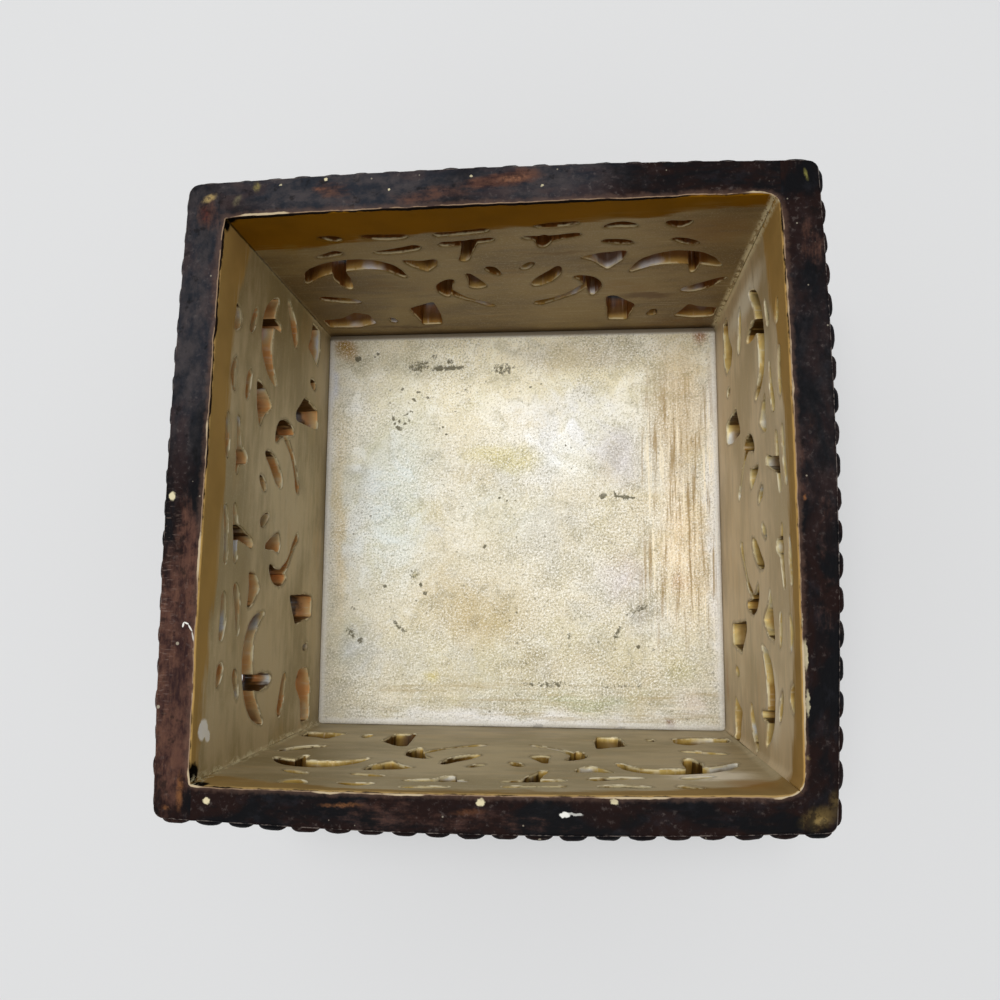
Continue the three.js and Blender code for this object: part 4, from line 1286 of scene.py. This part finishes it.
def lobe_tree():
    """Carved lobes along a curve that follows a board's face."""
    g = Growth("carved_border", start="Vector", middle="Vector", end="Vector", count="Int", size="Vector",
               fullness="Float", unevenness="Float", roughness="Float", seed="Int", material="Material")
    i = g.inputs
    line = g.named("GeometryNodeCurveQuadraticBezier", Resolution=32, Start=i["start"], Middle=i["middle"],
                   End=i["end"])
    spots = g.named("GeometryNodeResampleCurve", Curve=line.outputs[0], Count=i["count"])

    # One lobe: a ball that is fuller along the curve
    ball = g.named("GeometryNodeMeshUVSphere", Segments=24, Rings=14, Radius=1.0)
    x, y, z = g.node("ShaderNodeSeparateXYZ", g.node("GeometryNodeInputPosition").outputs[0]).outputs
    fuller = g.math("MULTIPLY", g.math("POWER", g.math("ABSOLUTE", x), i["fullness"]), g.math("SIGN", x))
    shape = g.node("ShaderNodeCombineXYZ", fuller, y, z)
    lobe = g.named("GeometryNodeSetPosition", Geometry=ball.outputs[0], Position=shape.outputs[0])

    # A lobe at each spot, turned along the curve and of its own size
    share = g.named("FunctionNodeRandomValue", Seed=i["seed"])
    g.feed(share.inputs[2], g.math("SUBTRACT", 1.0, i["unevenness"]))
    g.feed(share.inputs[3], 1.0)
    size = g.vectors("SCALE", i["size"], None, None, share.outputs[1])
    aim = g.node("FunctionNodeAlignRotationToVector", None, None,
                 g.node("GeometryNodeInputTangent").outputs[0], axis="X", pivot_axis="Z")
    lobes = g.named("GeometryNodeInstanceOnPoints", Points=spots.outputs[0], Instance=lobe.outputs[0],
                    Rotation=aim.outputs[0], Scale=size)
    real = g.named("GeometryNodeRealizeInstances", Geometry=lobes.outputs[0])

    # Left a little rough by the knife
    cut = g.named("ShaderNodeTexNoise", Vector=g.node("GeometryNodeInputPosition").outputs[0], Scale=520.0,
                  Detail=2.0)
    push = g.vectors("SCALE", g.vectors("SUBTRACT", cut.outputs["Color"], (0.5, 0.5, 0.5)), None, None,
                     i["roughness"])
    carved = g.named("GeometryNodeSetPosition", Geometry=real.outputs[0], Offset=push)
    g.end(carved.outputs[0], i["material"])
    return g.tree


def border_on(board, tree, material):
    """The lobes along one side of the box, over the ends of the through boards as well."""
    last = HALF_SIDE - LOBE_PITCH / 2
    level = HEIGHT - BORDER_DROP
    bend = SWELL * (last / HALF_SIDE) ** 2
    row = grown(
        f"{board.name}_border", tree, count=round(2 * HALF_SIDE / LOBE_PITCH),
        start=(-last, outer_face(last), level), middle=(0, outer_face(0) + bend, level),
        end=(last, outer_face(last), level),
        size=(LOBE_PITCH * LOBE_SHARE / 2, BORDER_STAND, BORDER_HEIGHT / 2),
        fullness=LOBE_FULLNESS, unevenness=LOBE_UNEVENNESS, roughness=LOBE_ROUGHNESS, seed=board.seed,
        material=material,
    )
    moved = settled(turned(vertices_of(row.data), board.quarter_turns))
    row.data.vertices.foreach_set("co", moved.astype(np.float32).ravel())
    stain_attributes(row.data, moved)
    point_attribute(row.data, "past_arris", np.full(len(moved), THICKNESS))
    row.data.update()
    return row


# The floor board

def rows_round_marks():
    """Rows of points round each mark on the floor, so that the mesh can hold its edge."""
    rows = []
    spokes = np.linspace(0, 2 * math.pi, MARK_SPOKES, endpoint=False)
    for centre, (half_x, half_y), turn, _ in FLOOR_MARKS:
        angle = math.radians(turn)
        for row in MARK_ROWS:
            u, v = row * half_x * np.cos(spokes), row * half_y * np.sin(spokes)
            x = centre[0] + u * math.cos(angle) - v * math.sin(angle)
            y = centre[1] + u * math.sin(angle) + v * math.cos(angle)
            inside = np.abs(np.stack([x, y])).max(0) < INNER_HALF / MM - MARK_MARGIN
            rows.append(np.stack([x, y], axis=1)[inside] * MM)
    return rows


def make_floor(material):
    """The floor board with soft edges, and its painted face a little uneven."""
    low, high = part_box("floor_board")
    xs = graded(-INNER_HALF, INNER_HALF, FLOOR_STEP, FLOOR_ROUNDING, FLOOR_ROUNDING)
    edge = [(x, xs[0]) for x in xs] + [(xs[-1], y) for y in xs[1:]]
    edge += [(x, xs[-1]) for x in xs[-2::-1]] + [(xs[0], y) for y in xs[-2:0:-1]]
    layout = [edge, [(x, y) for y in xs[1:-1] for x in xs[1:-1]], *rows_round_marks()]
    sides = [(i, (i + 1) % len(edge)) for i in range(len(edge))]
    flat, triangles, number = triangulated([Vector(p) / MM for p in np.vstack(layout)], sides, 1)
    place = np.column_stack([flat, np.zeros(len(flat))])
    lift = FLOOR_DIPS * (waviness(place, 16 * MM, 3) - 1) + FLOOR_DENTS * waviness(place, 5 * MM, 4)
    to_edge = INNER_HALF - np.abs(flat).max(1)
    top = high.z + lift - FLOOR_EDGE_DROP * rounded(to_edge, FLOOR_ROUNDING)
    vertices = np.vstack([np.column_stack([flat, top]), [(x, y, low.z) for x, y in edge]])
    below = len(flat)
    faces = [tuple(t) for t in triangles]
    faces += [(number[j], number[i], below + i, below + j) for i, j in sides]
    faces.append(tuple(below + i for i in reversed(range(len(edge)))))
    made = mesh_object("painted_floor", vertices, faces, [material])
    made.data.set_sharp_from_angle(angle=SHARP_ANGLE)

    # Its clouds and stains, with the painted light and shade among them, as a tint of the ground colour, and
    # its marks as dirt
    cloudy = place.copy()
    for by, wavelength, seed in CLOUD_SHAKES:
        cloudy += by * np.stack([waviness(place, wavelength, seed), waviness(place, wavelength, seed + 1),
                                 0 * lift], axis=1)
    ground = np.array(colour(*FLOOR_GROUND))
    tint = np.tile(ground, (len(flat), 1))
    for spots, mottled in ((FLOOR_CLOUDS_AND_LIGHT, 1.0), (FLOOR_STAINS_AND_EDGE_HIGHLIGHTS, 0.2)):
        for centre, half_sizes, turn, rgb, amount in spots:
            share = amount * smooth((1 - elliptic(cloudy[:, :2], centre, half_sizes, turn)) / CLOUD_FADE)
            tint += share[:, None] * (np.array([*colour(*rgb)[:3], mottled]) - tint)
    dirt = np.zeros(len(flat))
    for centre, half_sizes, turn, amount in FLOOR_MARKS:
        dirt = np.maximum(dirt, amount * smooth(MARK_END - elliptic(flat, centre, half_sizes, turn)))
    spare = len(edge)
    point_attribute(made.data, "dirt", np.concatenate([dirt, np.zeros(spare)]))
    painted = made.data.attributes.new("tint", "FLOAT_COLOR", "POINT")
    everywhere = np.vstack([tint / ground, np.ones((spare, 4))])
    painted.data.foreach_set("color", everywhere.astype(np.float32).ravel())
    return made


# Put together

wood = stained_wood()
lobes = lobe_tree()
for board in BOARDS:
    fret_board = make_board(board, [wood, wall_paint(board), sawn_face(board)])
    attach(fret_board, "root")
    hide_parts(board.node)
    border = border_on(board, lobes, wood)
    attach(border, "root")

floor = make_floor(floor_paint())
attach(floor, "root")
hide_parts("floor_board")

steel = brad_steel()
for name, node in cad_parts.items():
    if "brad" in name:
        node.data.materials.clear()
        node.data.materials.append(steel)


# Stage, light and camera

STAGE_REACH = 3.0
STAGE_GREY = (0.8, 0.8, 0.8, 1)
STAGE_ROUGHNESS = 0.85
LAMP_PLACE = (-0.09, 0.09, 1.4)
LAMP_AIM = (0, 0, 0.05)
LAMP_SIZE = 0.6
LAMP_POWER = 12.8
SKY_COLOUR = (0.96, 0.98, 1.0, 1)
SKY_STRENGTH = 0.35
CAMERA_PLACE = (15.68 * MM, -21.54 * MM, HEIGHT + 151.33 * MM)
CAMERA_TILT = (7.056, 5.165, 0.342)
CAMERA_LENS = 30.37
CAMERA_NEAR = 0.01
SENSOR = 36

pale = Finish("studio_floor")
pale.base = STAGE_GREY
corners = [(x * STAGE_REACH, y * STAGE_REACH, 0) for x, y in ((-1, -1), (1, -1), (1, 1), (-1, 1))]
ground = mesh_object("ground", corners, [(0, 1, 2, 3)], [pale.finish(STAGE_ROUGHNESS)])

softbox = bpy.data.lights.new("overhead", "AREA")
softbox.shape = "SQUARE"
softbox.size = LAMP_SIZE
softbox.energy = LAMP_POWER
lamp = linked("overhead", softbox)
lamp.location = LAMP_PLACE
lamp.rotation_euler = (Vector(LAMP_AIM) - Vector(LAMP_PLACE)).to_track_quat("-Z", "Y").to_euler()

world = bpy.data.worlds.new("studio")
bpy.context.scene.world = world
world.use_nodes = True
sky = world.node_tree.nodes["Background"].inputs
sky["Color"].default_value = SKY_COLOUR
sky["Strength"].default_value = SKY_STRENGTH

camera_data = bpy.data.cameras.new("camera")
camera_data.sensor_width = SENSOR
camera_data.lens = CAMERA_LENS
camera_data.clip_start = CAMERA_NEAR
camera = linked("camera", camera_data)
camera.location = CAMERA_PLACE
camera.rotation_euler = [math.radians(a) for a in CAMERA_TILT]
bpy.context.scene.camera = camera
bpy.context.scene.view_settings.view_transform = "Standard"
